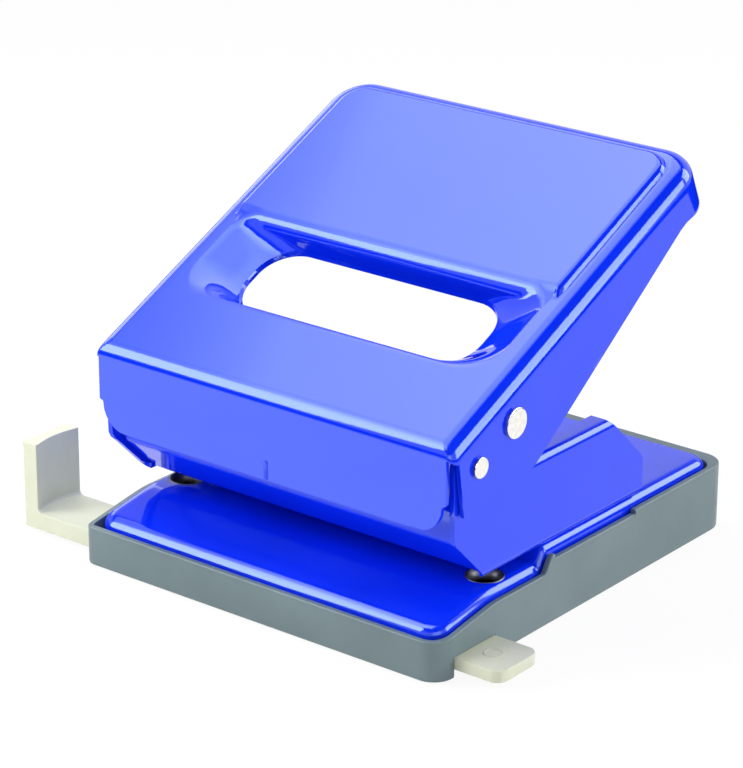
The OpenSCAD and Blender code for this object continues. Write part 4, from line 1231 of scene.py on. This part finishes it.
cut_away(carrier, join("drill", [
    drills(both_sides(PUNCH_X, PUNCH_Y, PUNCH_DRILL_Z), PUNCH_BORE, Z_AXIS, half_length=9),
    drills(both_sides(CARRIER_RIVET_X, CARRIER_RIVET_Y, RIVET_DRILL_Z), CARRIER_RIVET_BORE, Z_AXIS,
           half_length=2)]))
soften(carrier, width_mm=0.15, angle=50)
settle(carrier)
hand_over(carrier, "punch_carrier", "base", oiled)

# %% [markdown]
# ## Stage, light and camera
# The punch stands on white paper in a light tent. Glossy enamel shows its surroundings, so each lamp
# is placed by what it should be mirrored in. A near softbox hangs above on the left for the panel,
# and its wing carries on to the right, seen in mirrors only. Lamps further off serve the bends of
# flange and front, a lit card on the floor serves the apron, and a dark skirting round the set
# draws a thin line along every bend. The floor and the walls of the tent are white to the camera and
# in reflections, the roof is dark, and the floor keeps a soft shadow.

# %% Floor
FLOOR_FIBRE_MM = 3
FLOOR_HALF = 900
# the camera and mirrors see this share of plain white, and the rest of it keeps the shadow
FLOOR_WHITE = 0.92
# a fifth of a millimetre below the tray, so that the two faces don't fight
FLOOR_GAP = 0.2
# the order of a flat piece's corners, for a face that looks up or down
FACE_UP = (0, 1, 2, 3)
FACE_DOWN = (0, 3, 2, 1)


def seen_directly(tree):
    path = add(tree, "ShaderNodeLightPath")
    first = add(tree, "ShaderNodeMath", {"operation": "MAXIMUM"},
                {0: path.outputs["Is Camera Ray"], 1: path.outputs["Is Glossy Ray"]})
    return add(tree, "ShaderNodeMath", {"operation": "MAXIMUM"},
               {0: first.outputs[0], 1: path.outputs["Is Transmission Ray"]})


def flat_piece(name, left, right, front, rear, z, face):
    corners = [(left, front, z), (right, front, z), (right, rear, z), (left, rear, z)]
    return piece_from(name, corners, [face])


def dress(piece, material, *unseen_by):
    piece.data.materials.append(material)
    for rays in unseen_by:
        setattr(piece, "visible_" + rays, False)


floor_paper, tree = new_material("white_paper_floor")
place = add(tree, "ShaderNodeTexCoord").outputs["Object"]
_, colour = mottle(tree, place, FLOOR_FIBRE_MM, 3.0, "#F2F2F2", "#FAFAFA", reach=(0.0, 1.0))
matt = add(tree, "ShaderNodeBsdfDiffuse", links={"Color": colour})
white = add(tree, "ShaderNodeEmission", {"Strength": 1.0})
seen = seen_directly(tree)
share = add(tree, "ShaderNodeMath", {"operation": "MULTIPLY", 1: FLOOR_WHITE}, {0: seen.outputs[0]})
both = add(tree, "ShaderNodeMixShader",
           links={0: share.outputs[0], 1: matt.outputs["BSDF"], 2: white.outputs["Emission"]})
add(tree, "ShaderNodeOutputMaterial", links={"Surface": both.outputs["Shader"]})
ground_plane = flat_piece("floor", -FLOOR_HALF, FLOOR_HALF, -FLOOR_HALF, FLOOR_HALF, 0, FACE_UP)
ground_plane.location.z = -FLOOR_GAP * MM
dress(ground_plane, floor_paper)
print("floor ready")

# %% Background
def greys(levels):
    return [(place, (level, level, level, 1.0)) for place, level in levels]


# white walls up to a good height, and a dark roof that leaves deep blue lines along the bends
TENT = ((0.55, 1.0), (0.66, 0.06), (0.9, 0.04))
TENT_LIGHT = 0.25

world = bpy.data.worlds.new("light_tent")
scene.world = world
world.use_nodes = True
tree = world.node_tree
tree.nodes.clear()
soft = add(tree, "ShaderNodeBackground", {"Color": linear("#FFFFFF"), "Strength": TENT_LIGHT})
way = add(tree, "ShaderNodeTexCoord")
height = add(tree, "ShaderNodeSeparateXYZ", links={0: way.outputs["Generated"]})
tent = add(tree, "ShaderNodeValToRGB", links={"Fac": height.outputs["Z"]}, stops=greys(TENT))
backdrop = add(tree, "ShaderNodeBackground", {"Strength": 1.0}, {"Color": tent.outputs["Color"]})
both = add(tree, "ShaderNodeMixShader",
           links={0: seen_directly(tree).outputs[0], 1: soft.outputs[0], 2: backdrop.outputs[0]})
add(tree, "ShaderNodeOutputWorld", links={"Surface": both.outputs[0]})
print("background ready")

# %% Lamps
# the lamps aim at the middle of the punch, and their sizes are in metres
LAMP_AIM = Vector((0, 0, 0.04))


def softbox(name, direction, distance, width, height, radiance):
    lamp = bpy.data.lights.new(name, "AREA")
    lamp.shape = "RECTANGLE"
    lamp.size = width
    lamp.size_y = height
    lamp.energy = radiance * math.pi * width * height
    box = placed(name, lamp)
    way = Vector(direction).normalized()
    box.location = LAMP_AIM + way * distance
    box.rotation_euler = way.to_track_quat("Z", "Y").to_euler()
    print(name, "at", [round(c, 2) for c in box.location], "power", round(lamp.energy, 2), "W")


softbox("softbox_right", (0.85, 0.40, 0.30), distance=1.0, width=0.38, height=0.70, radiance=6.0)
softbox("softbox_front_left", (-0.62, -0.62, 0.47), distance=1.0, width=0.38, height=0.68, radiance=8.0)
softbox("softbox_behind", (0.44, 0.73, 0.46), distance=1.0, width=0.42, height=0.58, radiance=5.5)
softbox("softbox_front_right", (0.74, -0.54, 0.40), distance=1.2, width=0.85, height=0.60, radiance=1.8)
softbox("softbox_left", (-0.84, 0.42, 0.32), distance=1.0, width=0.40, height=0.50, radiance=1.8)

# %% The near softbox, a lit cloth that is brightest near its right edge and in front
# its glow from left to right, as shares of its full power
CLOTH_GLOW = ((0.0, 0.3), (0.44, 0.34), (0.473, 0.45), (0.507, 0.62), (0.525, 0.77), (0.55, 0.81),
              (0.642, 0.94), (0.675, 1.0), (0.70, 0.9), (0.717, 0.78), (0.82, 0.78), (0.88, 0.0), (1.0, 0.0))
# the stretch over which the glow is spread, in metres
GLOW_LEFT = -0.45
GLOW_RIGHT = 0.15
# the front is brighter than the rest, and fades to it between these lines
FRONT_POWER = 6.8
REAR_POWER = 4.1
FADE_FRONT = -0.12
FADE_REAR = -0.07
CLOTH_LEFT = -230
CLOTH_RIGHT = 0
WING_RIGHT = 105
CLOTH_FRONT = -145
CLOTH_REAR = 140
CLOTH_Z = 220

cloth, tree = new_material("diffuser_cloth_lit")
place = add(tree, "ShaderNodeTexCoord").outputs["Object"]
across = add(tree, "ShaderNodeSeparateXYZ", links={0: place})
along = add(tree, "ShaderNodeMapRange", {"From Min": GLOW_LEFT, "From Max": GLOW_RIGHT},
            {"Value": across.outputs["X"]})
glow = add(tree, "ShaderNodeValToRGB", links={"Fac": along.outputs["Result"]}, stops=greys(CLOTH_GLOW))
power = add(tree, "ShaderNodeMapRange",
            {"From Min": FADE_FRONT, "From Max": FADE_REAR, "To Min": FRONT_POWER, "To Max": REAR_POWER},
            {"Value": across.outputs["Y"]})
lit = add(tree, "ShaderNodeEmission",
          links={"Color": glow.outputs["Color"], "Strength": power.outputs["Result"]})
add(tree, "ShaderNodeOutputMaterial", links={"Surface": lit.outputs["Emission"]})
near_box = flat_piece("softbox_near", CLOTH_LEFT, CLOTH_RIGHT, CLOTH_FRONT, CLOTH_REAR, CLOTH_Z, FACE_DOWN)
dress(near_box, cloth, "camera")
wing = flat_piece("softbox_wing", CLOTH_RIGHT, WING_RIGHT, CLOTH_FRONT, CLOTH_REAR, CLOTH_Z, FACE_DOWN)
dress(wing, cloth, "camera", "diffuse", "shadow")
print("near softbox and its wing ready")

# %% A dark skirting round the set, which draws a thin line along every bend
NAP_MM = 4
SKIRTING_R = 320
SKIRTING_HIGH = 66

felt, tree = new_material("black_felt")
place = add(tree, "ShaderNodeTexCoord").outputs["Object"]
_, colour = mottle(tree, place, NAP_MM, 2.0, "#0C0C0E", "#161618", reach=(0.0, 1.0))
matt = add(tree, "ShaderNodeBsdfDiffuse", links={"Color": colour})
add(tree, "ShaderNodeOutputMaterial", links={"Surface": matt.outputs["BSDF"]})
skirting = turned("skirting", [(SKIRTING_R, 0), (SKIRTING_R, SKIRTING_HIGH)], (0, 0, 0), Z_AXIS, steps=96)
dress(skirting, felt, "camera", "diffuse", "shadow")
print("skirting ready")

# %% A lit card on the floor, in front on the left, which the upright apron mirrors
CARD_FIBRE_MM = 20
CARD_LIGHT = 2.2

card_paper, tree = new_material("white_card_lit")
place = add(tree, "ShaderNodeTexCoord").outputs["Object"]
_, colour = mottle(tree, place, CARD_FIBRE_MM, 2.0, "#F4F4F4", "#FFFFFF", reach=(0.0, 1.0))
lit = add(tree, "ShaderNodeEmission", {"Strength": CARD_LIGHT}, {"Color": colour})
add(tree, "ShaderNodeOutputMaterial", links={"Surface": lit.outputs["Emission"]})
card = flat_piece("card", left=-170, right=20, front=-190, rear=-92, z=1, face=FACE_UP)
dress(card, card_paper, "camera", "shadow")
print("card ready")

# %% Camera
SENSOR_MM = 36.0
LENS_MM = 153.86
AZIMUTH = math.radians(38.44)
ELEVATION = math.radians(21.34)
ROLL = math.radians(0.22)
# the point that the camera looks at and its distance from it, in metres
CAMERA_AIM = Vector((-0.0095, -0.0005, 0.035))
CAMERA_DISTANCE = 0.702

camera = placed("camera", bpy.data.cameras.new("camera"))
scene.camera = camera
camera.data.sensor_width = SENSOR_MM
camera.data.lens = LENS_MM
back = Vector((math.sin(AZIMUTH) * math.cos(ELEVATION), -math.cos(AZIMUTH) * math.cos(ELEVATION),
               math.sin(ELEVATION)))
camera.location = CAMERA_AIM + back * CAMERA_DISTANCE
turn = back.to_track_quat("Z", "Y").to_matrix().to_4x4() @ Matrix.Rotation(ROLL, 4, "Z")
camera.rotation_euler = turn.to_euler()
scene.view_settings.view_transform = "Standard"
print("camera at", [round(c, 4) for c in camera.location])
